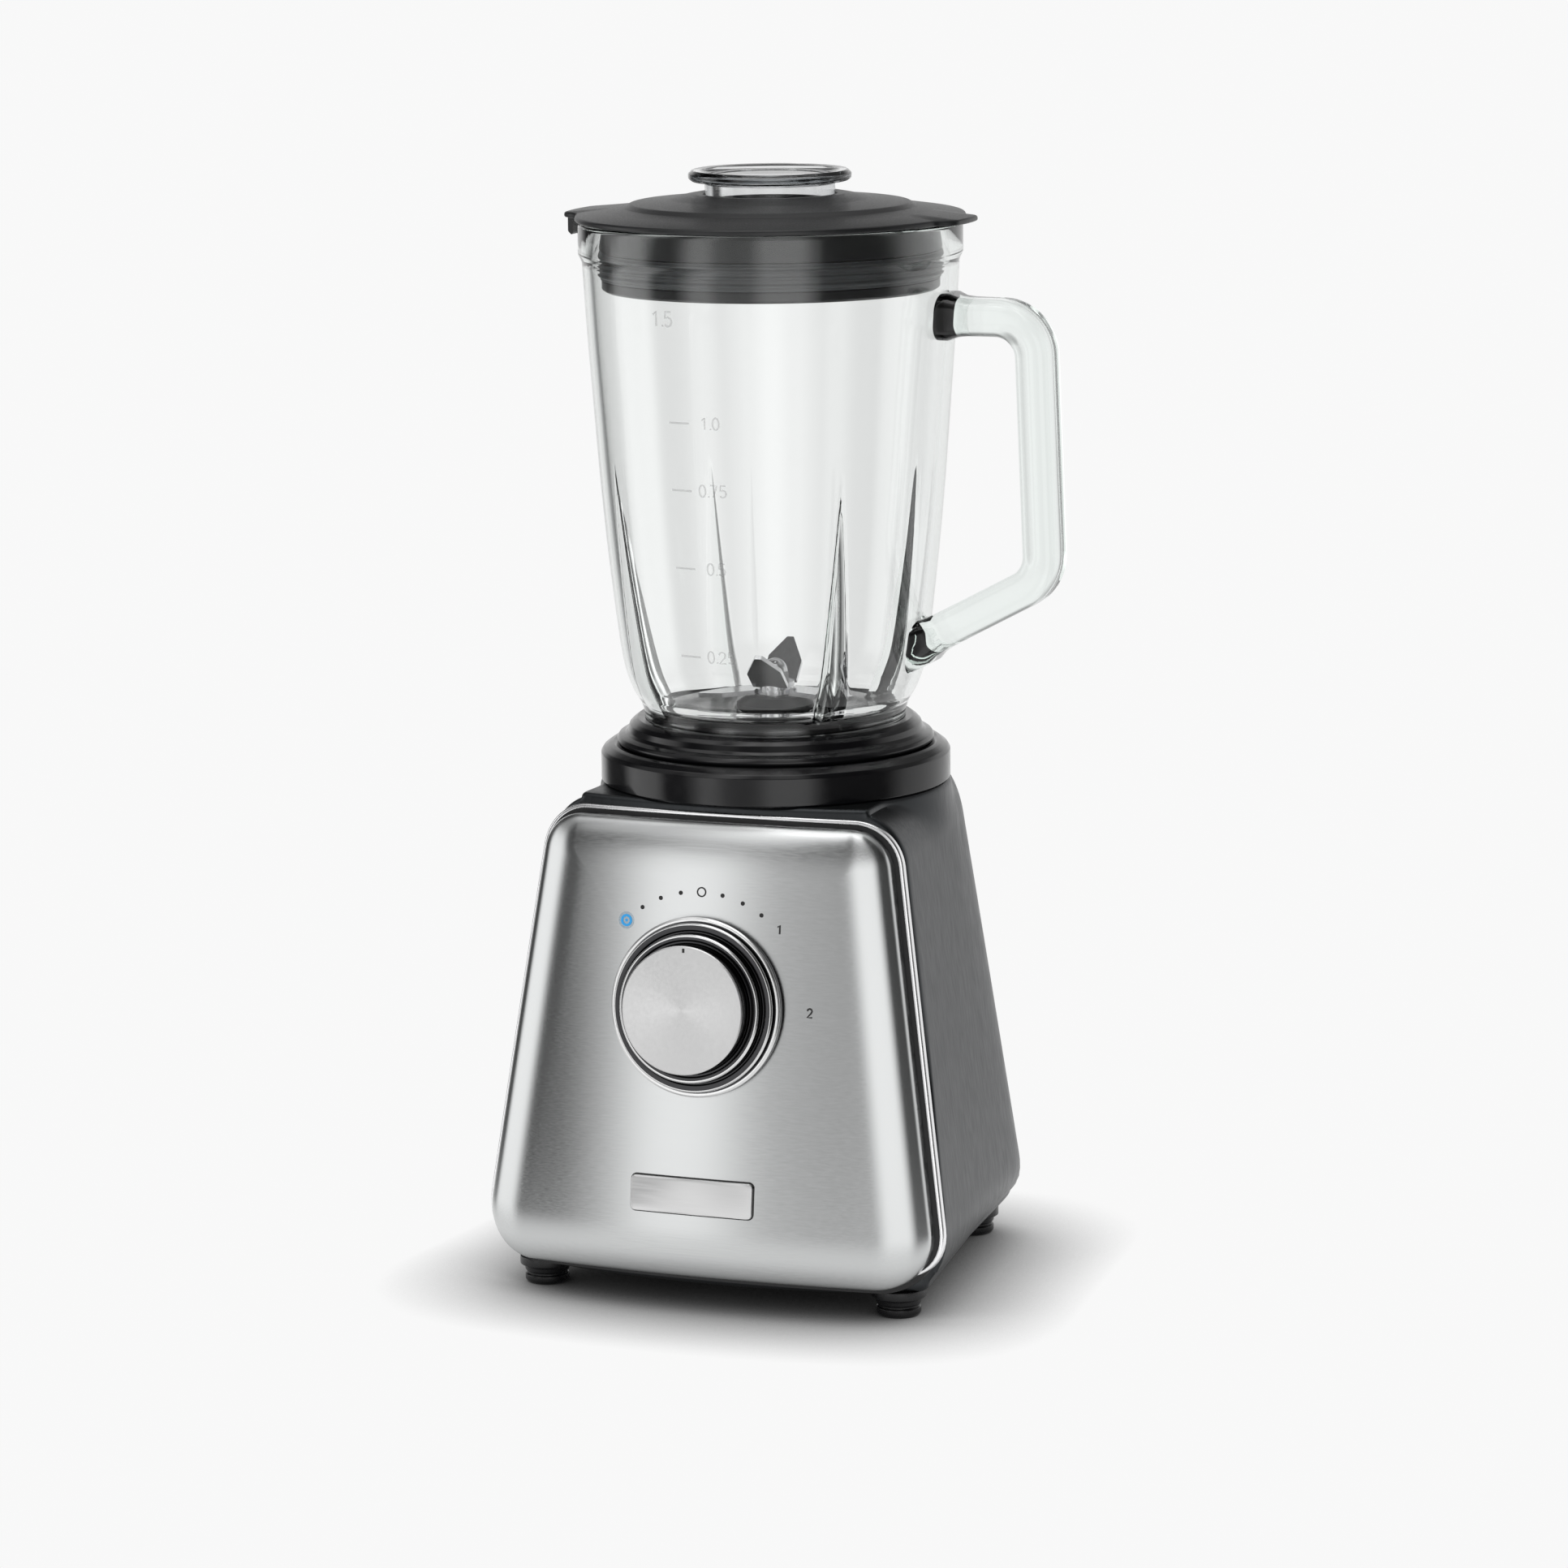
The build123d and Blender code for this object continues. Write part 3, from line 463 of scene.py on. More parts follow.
def make_edge_trim():
    """The bright band that frames the panel behind a dark seam."""
    low, high = -panel_back - 2.6, -panel_back
    foot_rise = (panel_bottom_z - dial_height) / cos(lean)
    section = rounded(((gasket_gap, low), (gasket_gap + trim_width, low),
                       (gasket_gap + trim_width, high), (gasket_gap, high)), [0, 0, 1.2, 0.5], 5)
    rings = []
    for grow, lift in section:
        ring = []
        for x, rise in panel_outline(grow):
            tuck = trim_tuck * max(0.0, 1 - (rise - foot_rise) / panel_corner_bottom) ** 2
            ring.append(on_panel(x, rise + min(tuck, trim_tuck), lift))
        rings.append(ring)
    piece("edge_trim_bright", skin(rings, loop=True), polished, 40,
          "power_unit", "bright_trim", "edge_trim")


def plate_geometry(outline, low, high, edge=0.0):
    """A thin plate on the panel from an (x, rise) outline, with a bevel of `edge` round its face."""
    middle = sum((Vector(point) for point in outline), Vector((0, 0))) / len(outline)

    def ring(inset, lift):
        result = []
        for point in outline:
            ray = Vector(point) - middle
            x, rise = middle + ray * max(0.0, 1 - inset / ray.length)
            result.append(on_panel(x, rise, lift))
        return result

    rings = [ring(0, low), ring(0, high - edge), ring(edge * 0.35, high - edge * 0.3), ring(edge, high)]
    return skin(rings)


badge_half_height = 6.35
badge_corner = 1.6


def make_badge():
    """A plain satin plate with a bevelled edge and no lettering."""
    low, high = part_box("badge")
    half_width = (high.x - low.x) / 2 / MM
    rise = (((low + high) / 2) - dial_centre).dot(panel_up) / MM
    bottom, top = rise - badge_half_height, rise + badge_half_height
    corners = [(-half_width, bottom), (half_width, bottom), (half_width, top), (-half_width, top)]
    dense = []
    for index in range(4):
        dense += arc_corner(corners[index - 1], corners[index], corners[(index + 1) % 4], badge_corner, 6)
        start, end = dense[-1], Vector(corners[(index + 1) % 4])
        dense += [start.lerp(end, step / 12) for step in range(1, 12)]
    piece("badge_plate", plate_geometry(dense, -0.4, 1.5, 0.4), badge_silver, 30,
          "power_unit", "badge_silver", "badge")
    # A thin black ribbon round the badge's foot: a painted shadow line.
    piece("badge_painted_shadow_line", ribbon(dense + [dense[0]], 0.9, on_panel, -0.1, 0.3), print_and_shade_black, 30,
          "power_unit", "black_plastic")


# ---------------------------------------------------------------- printed marks
glyphs = {
    "0": [[(0.3 + 0.28 * cos(TURN * k / 20), 0.5 + 0.5 * sin(TURN * k / 20))
           for k in range(21)]],
    "1": [[(0.08, 0.76), (0.34, 1.0), (0.34, 0.0)]],
    "2": [[(0.03, 0.74), (0.10, 0.92), (0.30, 1.0), (0.50, 0.92), (0.57, 0.73), (0.48, 0.50),
           (0.03, 0.0), (0.60, 0.0)]],
    "5": [[(0.54, 1.0), (0.10, 1.0), (0.06, 0.56), (0.30, 0.63), (0.50, 0.53), (0.58, 0.32), (0.49, 0.09),
           (0.28, 0.0), (0.03, 0.11)]],
    "7": [[(0.02, 1.0), (0.58, 1.0), (0.24, 0.0)]],
    ".": [[(0.06, 0.0), (0.06, 0.10)]],
}
glyph_width = {".": 0.22}


def text_strokes(text, height, centre):
    """Polylines of a short text, centred on a 2D point."""
    total = sum(glyph_width.get(letter, 0.8) for letter in text)
    left = centre[0] - (total - 0.2) * height / 2
    strokes = []
    for letter in text:
        for line in glyphs[letter]:
            strokes.append([(left + x * height, centre[1] + (y - 0.5) * height) for x, y in line])
        left += glyph_width.get(letter, 0.8) * height
    return strokes


def ribbon(line, width, place, low, high):
    """A flat strip of constant width along a 2D line, laid on a surface by `place(a, b, lift)`."""
    points = [Vector(point) for point in line]
    closed = (points[0] - points[-1]).length < 1e-6
    rings = []
    for index, point in enumerate(points):
        before = points[index - 1] if index else (points[-2] if closed else point)
        after = points[index + 1] if index + 1 < len(points) else (points[1] if closed else point)
        ahead = (after - before).normalized()
        side = Vector((-ahead.y, ahead.x)) * width / 2
        left, right = point + side, point - side
        rings.append([place(*left, low), place(*right, low), place(*right, high), place(*left, high)])
    if closed:
        return skin(rings[:-1], loop=True)
    return skin(rings)


def circle_line(centre, radius, steps=32):
    return [(centre[0] + radius * cos(TURN * k / steps), centre[1] + radius * sin(TURN * k / steps))
            for k in range(steps + 1)]


mark_radius = 40.7
mark_lift = 0.12
mark_height = 3.1


def mark_place(degrees):
    """A place on the panel's scale, clockwise from the top."""
    angle = radians(degrees)
    return mark_radius * sin(angle), mark_radius * cos(angle)


def make_marks():
    """Off ring, speed dots and the numbers 1 and 2, printed round the dial."""
    parts = [ribbon(circle_line(mark_place(0), 1.55), 0.5, on_panel, -0.1, mark_lift)]
    for degrees in (-33.75, -22.5, -11.25, 11.25, 22.5, 33.75):
        dot = circle_line(mark_place(degrees), 0.78, 20)[:-1]
        parts.append(plate_geometry(dot, -0.1, mark_lift, 0.05))
    for text, degrees in (("1", 45), ("2", 90)):
        x, rise = mark_place(degrees)
        centre = (x + 0.6, rise + 0.4)
        for stroke in text_strokes(text, mark_height, centre):
            parts.append(ribbon(stroke, 0.62, on_panel, -0.1, mark_lift))
    piece("dial_marks", join_geometry(parts), print_and_shade_black, 30, "power_unit", "black_plastic")


def make_pulse_light():
    """The lit ring of the pulse setting, with a painted glow: a soft blue halo coloured onto the steel round
    it.
    """
    centre = mark_place(-45)
    parts = [ribbon(circle_line(centre, 1.75), 0.85, on_panel, -0.1, 0.16)]
    dot = circle_line(centre, 0.5, 16)[:-1]
    parts.append(plate_geometry(dot, -0.1, 0.16, 0.05))
    piece("pulse_light", join_geometry(parts), blue_light, 30, "power_unit", "black_plastic")
    # The halo is painted glow: a tinted see-through disc, not a light.
    halo = plate_geometry(circle_line(centre, 3.1, 32)[:-1], -0.1, 0.06, 0.05)
    piece("pulse_painted_glow", halo, painted_blue_glow, 30, "power_unit", "black_plastic")


# ---------------------------------------------------------------- dial
def dial_rings(profile, segments=160):
    """Rings about the dial's axis from (radius, height above the panel's foremost line) points."""
    def spot(radius, angle, height):
        local = panel_right * radius * cos(angle) + panel_up * radius * sin(angle)
        return dial_centre + (local + panel_out * height) * MM

    angles = circle(segments)
    return [[spot(radius, angle, height) for angle in angles] for radius, height in profile]


knob_top = 15.6                # above the panel's foremost line


def make_dial():
    """Bezel, stepped knob and its spun cap."""
    # Bezel ring and knob body take the near-black steel as painted shade; the lip and rings keep the bright
    # steel.
    bezel_profile = rounded(((6.4, -1.4), (31.2, -1.4), (32.0, 0.2), (32.0, 2.2), (31.0, 3.0), (6.4, 3.0)),
                            [0, 0, 0.4, 0.5, 0.5, 0], 4)
    piece("dial_bezel_ring", skin(dial_rings(bezel_profile), loop=True), knob_steel_painted_dark, 30,
          "power_unit", "bright_trim", "dial_bezel")
    lip = rounded(((31.0, 2.0), (31.98, 2.0), (31.98, 2.5), (31.3, 3.02), (30.4, 3.02), (30.4, 2.4)),
                  [0.1, 0.1, 0.2, 0.3, 0.2, 0.1], 3)
    piece("dial_bezel_lip", skin(dial_rings(lip), loop=True), bezel_steel, 30,
          "power_unit", "bright_trim")
    knob_profile = rounded((
        (3.1, 3.4), (29.2, 3.4), (30.0, 4.2), (30.0, 5.0), (29.3, 5.4), (27.6, 5.4), (27.2, 4.7), (26.6, 4.7),
        (26.3, 5.6), (26.3, 8.3), (25.7, 9.2), (24.4, 9.2), (24.0, 8.5), (23.3, 8.5), (22.9, 9.4),
        (22.6, 14.4), (22.2, 14.6), (3.1, 14.6)),
        [0, 0.3, 0.3, 0.35, 0.3, 0.2, 0.2, 0.2, 0.2, 0.5, 0.5, 0.2, 0.2, 0.2, 0.2, 0.2, 0.1, 0], 3)
    piece("knob_body", skin(dial_rings(knob_profile), loop=True), knob_steel_painted_dark, 28,
          "dial", "bright_trim", "knob")
    rings_profile = ((30.05, 4.3, 29.2, 5.5), (26.35, 8.0, 25.3, 9.28))
    for number, (outer, low, inner, high) in enumerate(rings_profile, 1):
        edge = rounded(((outer - 0.9, low), (outer, low), (outer, high - 0.5), (outer - 0.5, high),
                        (inner, high), (inner, low + 0.2)), [0.1, 0.2, 0.3, 0.3, 0.2, 0.1], 3)
        piece(f"knob_ring_{number}", skin(dial_rings(edge), loop=True), bezel_steel, 30,
              "dial", "bright_trim")
    cap_profile = rounded(((0.02, 14.62), (22.6, 14.62), (22.8, 15.0), (22.8, 15.2),
                           (22.3, knob_top), (0.02, knob_top)), [0, 0.1, 0.1, 0.2, 0.2, 0], 4)
    piece("knob_face", skin(dial_rings(cap_profile)), spun_steel, 30, "dial", "knob_steel", "knob_cap")

    def on_face(x, rise, lift):
        return dial_centre + (panel_right * x + panel_up * rise + panel_out * (knob_top + lift)) * MM

    notch = ribbon([(0, 20.4), (0, 21.9)], 0.9, on_face, -0.3, 0.06)
    piece("knob_pointer", notch, print_and_shade_black, 30, "dial", "bright_trim")


# ---------------------------------------------------------------- housing
housing_low_z = 13.0
deck_z = 180.0
back_y = 68.0
flare = 4.0                    # the body's front edge stands this far outside the panel
setback = 1.8                  # and this far behind the panel's rim
back_half_bottom = 77.6
back_half_top = 57.8
back_corner_bottom = 19.0
back_corner_top = 16.0
back_round_bottom = 96.4       # radius about the drive axis that rounds the back, at the underside
back_round_top = 67.4          # and at the deck
plinth_radius = 63.7
plinth_height = 26.0
edge_round = 3.0               # height of the rounding along the underside
edge_z = housing_low_z + edge_round
band_z = 162.0                 # rings lie closer together above this
shoulder_z = deck_z - 2.0
front_blend = 0.9              # softness where the limits of the outline meet, in front
back_blend = 2.4               # and behind
plinth_blend = 1.6
front_sag = 4.0                # the underside hangs this much lower 80 mm in front of the drive axis


def trapezoid_half(z, low, high, half_low, half_high, round_low, round_high):
    """Half the width of a trapezoid with rounded corners at height z."""
    share = min(1.0, max(0.0, (z - low) / (high - low)))
    half = half_low + (half_high - half_low) * share
    for distance, radius in ((high - z, round_high), (z - low, round_low)):
        if distance < radius:
            fall = radius - max(0.0, distance)
            half -= radius - sqrt(max(0.0, radius * radius - fall * fall))
    return half


def soft_least(values, blend):
    """The least of some lengths, rounded off where two of them meet."""
    least = min(values)
    return least - blend * log(sum(exp((least - value) / blend) for value in values))


def soft_most(first, second, blend):
    return -soft_least((-first, -second), blend)


def housing_radius(angle, z):
    """Distance from the drive axis to the housing's side at an angle and height."""
    cosine, sine = cos(angle), sin(angle)
    front_y = (dial_centre.y - drive_y) / MM + (z - dial_height) * tan(lean)
    front = trapezoid_half(z, panel_bottom_z - flare, panel_top_z + flare,
                           panel_half_bottom + flare + 0.4, panel_half_top + flare - 0.4,
                           panel_corner_bottom + flare, panel_corner_top + flare)
    back = trapezoid_half(z, housing_low_z, deck_z, back_half_bottom, back_half_top,
                          back_corner_bottom, back_corner_top)
    taper = (back - front) / (back_y - front_y)
    limits = []
    front_limit = 200.0
    spread = abs(cosine) - taper * sine
    if spread > 0.01:
        limits.append((front - taper * front_y) / spread)
    if sine < -0.05:
        flat = (front_y + panel_back + setback) / sine
        x = max(-100.0, min(100.0, flat * cosine))
        front_limit = (front_y + panel_back + setback + x * x / (2 * crown_radius)) / sine
        limits.append(front_limit)
    if sine > 0.05:
        limits.append(back_y / sine)
        share = (z - housing_low_z) / (deck_z - housing_low_z)
        round_back = back_round_bottom + (back_round_top - back_round_bottom) * share
        limits.append(round_back + 300.0 * max(0.0, 0.35 - sine) ** 2)
    radius = soft_least(limits, front_blend if sine < 0 else back_blend)
    rise = (z - (deck_z - plinth_height)) / plinth_height
    if rise > 0:
        plinth = plinth_radius + 5.0 * (1 - rise) ** 2 - 14.0 * (1 - rise) ** 4
        radius = soft_most(radius, plinth, plinth_blend)
    return min(radius, front_limit)


def make_housing():
    """The body shell: one smooth skin from the panel to the rounded back and up to the deck."""
    levels = [edge_z + (band_z - edge_z) * k / 44 for k in range(44)]
    levels += [band_z + (shoulder_z - band_z) * k / 20 for k in range(21)]
    rings = []
    segments = 720
    quarter = [pi / 2 * step / 6 for step in range(7)]

    def ring(z, inset, height):
        points = []
        for angle in circle(segments):
            radius = housing_radius(angle, z) - inset
            x, y = radius * cos(angle), radius * sin(angle)
            sag = front_sag * max(0.0, -y / 80.0) * max(0.0, 1 - (height - housing_low_z) / 30.0)
            points.append(at(x, y, height - sag))
        return points

    for angle in quarter[:-1]:
        height = housing_low_z + edge_round * (1 - cos(angle))
        rings.append(ring(edge_z, 2.0 * (1 - sin(angle)), height))
    for z in levels:
        rings.append(ring(z, 0, z))
    for angle in quarter[1:]:
        rings.append(ring(shoulder_z, 2.0 * (1 - cos(angle)), shoulder_z + 2.0 * sin(angle)))
    piece("housing_shell", skin(rings), dark_body, 50, "power_unit", "dark_metal", "housing")


def make_feet():
    """Ribbed rubber feet on flared collars."""
    for name in ("foot_front_left", "foot_front_right", "foot_back_left", "foot_back_right"):
        low, high = span(name)
        x, y = (low.x + high.x) / 2, (low.y + high.y) / 2
        radius = (high.x - low.x) / 2
        top = high.z
        profile = rounded((
            (0.02, 0), (radius - 2.9, 0), (radius - 1.8, 1.0), (radius - 1.8, 3.0), (radius - 2.4, 3.5),
            (radius - 2.4, 4.1), (radius - 1.8, 4.6), (radius - 1.6, 6.0), (radius, 6.9), (radius, top),
            (0.02, top)), [0, 0.5, 0.6, 0.4, 0.2, 0.2, 0.4, 0.3, 0.4, 0.3, 0], 3)
        angles = circle(64)
        rings = [[at(x + r * cos(a), y + r * sin(a), z) for a in angles] for r, z in profile]
        piece(name + "_rubber", skin(rings), rubber, 35, "power_unit", "rubber", name)


# ---------------------------------------------------------------- seat collar and blade base
collar_wall = 7.0
seat_height = 12.0             # the seat's top above the deck


def make_collar():
    """The glossy seat ring on the housing."""
    low, high = span("seat_collar")
    radius, top = high.x, high.z
    inner = radius - collar_wall
    profile = rounded((
        (inner, low.z), (radius - 0.6, low.z), (radius, low.z + 0.6), (radius, top - 3.4),
        (radius - 0.9, top - 2.0), (radius - 3.0, top - 0.5), (radius - 4.6, top),
        (inner + 0.4, top - 0.3), (inner, top - 1.0)), [0, 0.4, 0.4, 1.0, 1.2, 1.6, 0.6, 0.4, 0.3], 5)
    piece("seat_collar_ring", skin(lathe_rings(profile), loop=True), black_gloss, 40,
          "power_unit", "black_plastic", "seat_collar")


def make_blade_base():
    """The stepped black base that holds the glass and the blades."""
    low, high = span("blade_base")
    outer = 56.0
    floor_z = high.z
    foot_z = floor_z - 3.8
    seat_z = deck_z + seat_height
    profile = rounded((
        (20.0, low.z), (outer - 0.4, low.z), (outer - 0.2, seat_z + 0.4), (outer + 1.4, seat_z + 2.3),
        (outer + 1.6, seat_z + 3.2), (outer + 0.8, seat_z + 4.4), (54.6, seat_z + 5.2),
        (53.6, seat_z + 6.2), (52.9, seat_z + 8.3), (51.6, seat_z + 9.6), (50.0, foot_z),
        (45.9, foot_z), (45.9, 187.2), (42.1, 187.2), (42.1, floor_z - 1.0), (41.1, floor_z),
        (15.0, floor_z), (14.6, floor_z - 1.2), (12.1, floor_z - 1.2), (12.1, 196.6), (20.0, 194.4)),
        [0, 0.5, 0.3, 0.7, 0.5, 0.8, 0.7, 0.7, 0.9, 0.9, 0.5, 0, 0, 0, 0.5, 0.5, 0.4, 0.2, 0, 0, 0], 4)
    piece("blade_base_moulding", skin(lathe_rings(profile), loop=True), black_gloss, 40,
          "jug_base", "black_plastic", "blade_base")


# ---------------------------------------------------------------- glass jug
glass_wall = 3.6
neck_z = 189.5                 # underside of the glass
foot_z = 203.0
bowl_z = 211.0                 # the inner wall rises from here
rim_z = 382.0
rim_radius = 68.9
jug_wall = ((47.0, 203.0), (48.6, 208.5), (52.0, 214.6), (55.2, 226.0), (59.0, 256.0),
            (61.9, 286.0), (64.1, 315.0), (66.0, 341.0), (67.6, 368.0))
rib_angles = (45, 135, 225, 315)
rib_low_z, rib_high_z = 204.0, 293.0
rib_depth = 8.0
rib_half_width = 5.6
spout_angle = 180
spout_reach = 3.0


def smooth_line(points, steps):
    """A smooth line through points, `steps` pieces between each pair."""
    line = []
    for index in range(len(points) - 1):
        p0 = Vector(points[max(0, index - 1)])
        p1, p2 = Vector(points[index]), Vector(points[index + 1])
        p3 = Vector(points[min(len(points) - 1, index + 2)])
        for step in range(steps):
            t = step / steps
            line.append(0.5 * (2 * p1 + (p2 - p0) * t + (2 * p0 - 5 * p1 + 4 * p2 - p3) * t * t
                               + (3 * p1 - p0 - 3 * p2 + p3) * t ** 3))
    line.append(Vector(points[-1]))
    return line


def wall_radius(z):
    """Outer radius of the jug's wall at height z."""
    line = jug_line
    for first, second in zip(line, line[1:]):
        if first.y <= z <= second.y:
            return first.x + (second.x - first.x) * (z - first.y) / max(1e-9, second.y - first.y)
    return line[-1].x if z > line[-1].y else line[0].x


jug_line = smooth_line(jug_wall, 7)


def rib_at(angle, radius, z):
    """How far an inner rib stands into the jug at an angle and height."""
    if not rib_low_z - 30 < z < rib_high_z:
        return 0.0
    share = min(1.0, (rib_high_z - z) / (rib_high_z - rib_low_z - 10))
    half_width = 0.5 + rib_half_width * share
    away = min(abs((angle - centre + 180) % 360 - 180) for centre in rib_angles)
    across = radians(away) * radius / half_width
    if across >= 1:
        return 0.0
    return rib_depth * share * (1 - across) ** 1.25


def spout_at(angle, z):
    """How far the pouring lip bulges out at an angle and height."""
    rise = min(1.0, max(0.0, (z - 350.0) / (rim_z - 350.0)))
    away = abs((angle - spout_angle + 180) % 360 - 180) / 21.0
    if away >= 1 or rise <= 0:
        return 0.0
    return spout_reach * rise ** 1.6 * cos(away * pi / 2) ** 2


def jug_angles():
    """Angles round the jug, closer together at the ribs and the pouring lip."""
    angles = set(range(0, 360, 2))
    for centre in rib_angles:
        angles |= {centre + k * 0.5 for k in range(-18, 19)}
    angles |= {spout_angle + k for k in range(-24, 25)}
    return sorted(angles)


def make_jug():
    """One casting: neck, curved wall with four inner ribs, thick rim with pouring lip, and handle."""
    inner_line = [(point.x - glass_wall, point.y) for point in jug_line if point.y > bowl_z]
    outer = rounded(((45.5, neck_z), (45.5, foot_z), (47.3, foot_z)), [0, 0.6, 0], 3, closed=False)
    outer += [point for point in jug_line if point.y > 204.0]
    rim = rounded(((67.6, 368.2), (rim_radius, 370.6), (rim_radius, rim_z), (rim_radius - 4.6, rim_z),
                   (64.2, 370.0), (64.0, 368.2)), [0, 1.6, 1.7, 1.6, 1.0, 0], 5, closed=False)
    inner = [Vector(point) for point in reversed(inner_line)]
    inner += rounded(((inner_line[0][0], bowl_z), (45.2, 207.6), (42.5, 205.4), (42.5, neck_z)),
                     [0, 3.0, 2.4, 0], 5, closed=False)
    angles = jug_angles()
    rings = []
    for r, z in outer + rim[1:-1]:
        rings.append([polar(r + spout_at(a, z), a, z) for a in angles])
    for r, z in inner:
        rings.append([polar(r + spout_at(a, z) - rib_at(a, r, z), a, z) for a in angles])
    body = build("jug_casting", skin(rings, loop=True), jug_glass, 38)
    handle = build("jug_handle_form", handle_geometry(), jug_glass, 50)
    apply_modifier(body, "BOOLEAN", object=handle, operation="UNION", solver="EXACT")
    handle_mesh = handle.data
    bpy.data.objects.remove(handle)
    bpy.data.meshes.remove(handle_mesh)
    smooth(body.data, 38)
    belongs(body, "glass_jug", "glass", "jug")


def polar(radius, degrees, z):
    angle = radians(degrees)
    return at(radius * cos(angle), radius * sin(angle), z)


handle_top_z = 349.5
handle_x_top = 99.9
handle_x_bottom = 103.4
handle_bend_z = 257.0
handle_root_z = 228.6
handle_corner = 14.0
handle_thickness = 13.2
handle_width = 18.0
handle_round = 4.6             # radius along the bar's edges
root_flare = 0.26              # share by which the bar widens where it meets the wall
root_length = 2.2


def handle_geometry():
    """A bent bar of rounded section that flares where it joins the wall."""
    start, end = (66.0, handle_top_z), (50.0, handle_root_z)
    path = rounded((start, (handle_x_top, handle_top_z), (handle_x_bottom, handle_bend_z), end),
                   [0, handle_corner, handle_corner, 0], 14, closed=False)
    line = []
    for first, second in zip(path, path[1:]):
        pieces = max(1, int((second - first).length / 3.0))
        line += [first.lerp(second, k / pieces) for k in range(pieces)]
    line.append(path[-1])
    ahead = [(line[min(k + 1, len(line) - 1)] - line[max(k - 1, 0)]).normalized() for k in range(len(line))]
    keep = [k for k, point in enumerate(line) if point.x > wall_radius(point.y) + 1.0]
    wide, thick = handle_width / 2, handle_thickness / 2
    section = rounded(((-wide, -thick), (wide, -thick), (wide, thick), (-wide, thick)), handle_round, 8)
    section = subdivided(section, 1.6)
    rings = []
    for k in keep:
        point, direction = line[k], ahead[k]
        from_end = min((point - line[keep[0]]).length, (point - line[keep[-1]]).length)
        flare_out = 1 + root_flare * exp(-from_end / root_length)
        across = Vector((-direction.y, direction.x))
        ring = []
        for side, depth in section:
            spot = point + across * depth * flare_out
            ring.append(at(spot.x, side * flare_out, spot.y))
        rings.append(ring)
    rings.insert(0, root_ring(rings[0], -ahead[keep[0]]))
    rings.append(root_ring(rings[-1], ahead[keep[-1]]))
    return skin(rings)


def root_ring(ring, direction):
    """A ring carried along `direction` until each point lies in the middle of the glass wall."""
    step = Vector((direction.x, 0, direction.y)) * 0.1 * MM
    result = []
    for point in ring:
        spot = point.copy()
        for _ in range(400):
            local = Vector((spot.x - drive_x, spot.y - drive_y)) / MM
            if local.length <= wall_radius(spot.z / MM) - glass_wall / 2:
                break
            spot += step
        result.append(spot)
    return result


def subdivided(points, longest):
    """A closed outline with its long edges split."""
    result = []
    for index, point in enumerate(points):
        after = points[(index + 1) % len(points)]
        pieces = max(1, ceil((after - point).length / longest))
        result += [point.lerp(after, k / pieces) for k in range(pieces)]
    return result


def make_scale():
    """Frosted level lines and numbers on the jug's front."""
    def on_jug(along, z, lift):
        radius = wall_radius(z) + lift
        angle = radians(-90) + along / wall_radius(z)
        return at(radius * cos(angle), radius * sin(angle), z)

    parts = []
    for z, text in ((232.0, "0.25"), (264.0, "0.5"), (292.0, "0.75"), (316.0, "1.0")):
        parts.append(ribbon([(-14.5 + k, z) for k in range(9)], 0.7, on_jug, -0.05, 0.1))
        for stroke in text_strokes(text, 4.2, (1.5, z + 0.2)):
            parts.append(ribbon(stroke, 0.55, on_jug, -0.05, 0.1))
    for stroke in text_strokes("1.5", 5.2, (-16.0, 352.5)):
        parts.append(ribbon(stroke, 0.7, on_jug, -0.05, 0.1))
    piece("jug_scale", join_geometry(parts), scale_white, 30, "glass_jug", "glass")


# ---------------------------------------------------------------- lid and filler cap
def tab_reach(degrees, flange):
    """Radius of the lid's flange at an angle, with the tabs over the lip and the handle."""
    radius = flange
    for centre, reach, half in ((0, 75.5, 14.0), (180, 75.9, 16.0)):
        away = abs((degrees - centre + 180) % 360 - 180) / half
        if away < 1:
            ease = min(1.0, (1 - away) * 2.2)
            radius = max(radius, flange + (reach - flange) * ease * ease * (3 - 2 * ease))
    return radius


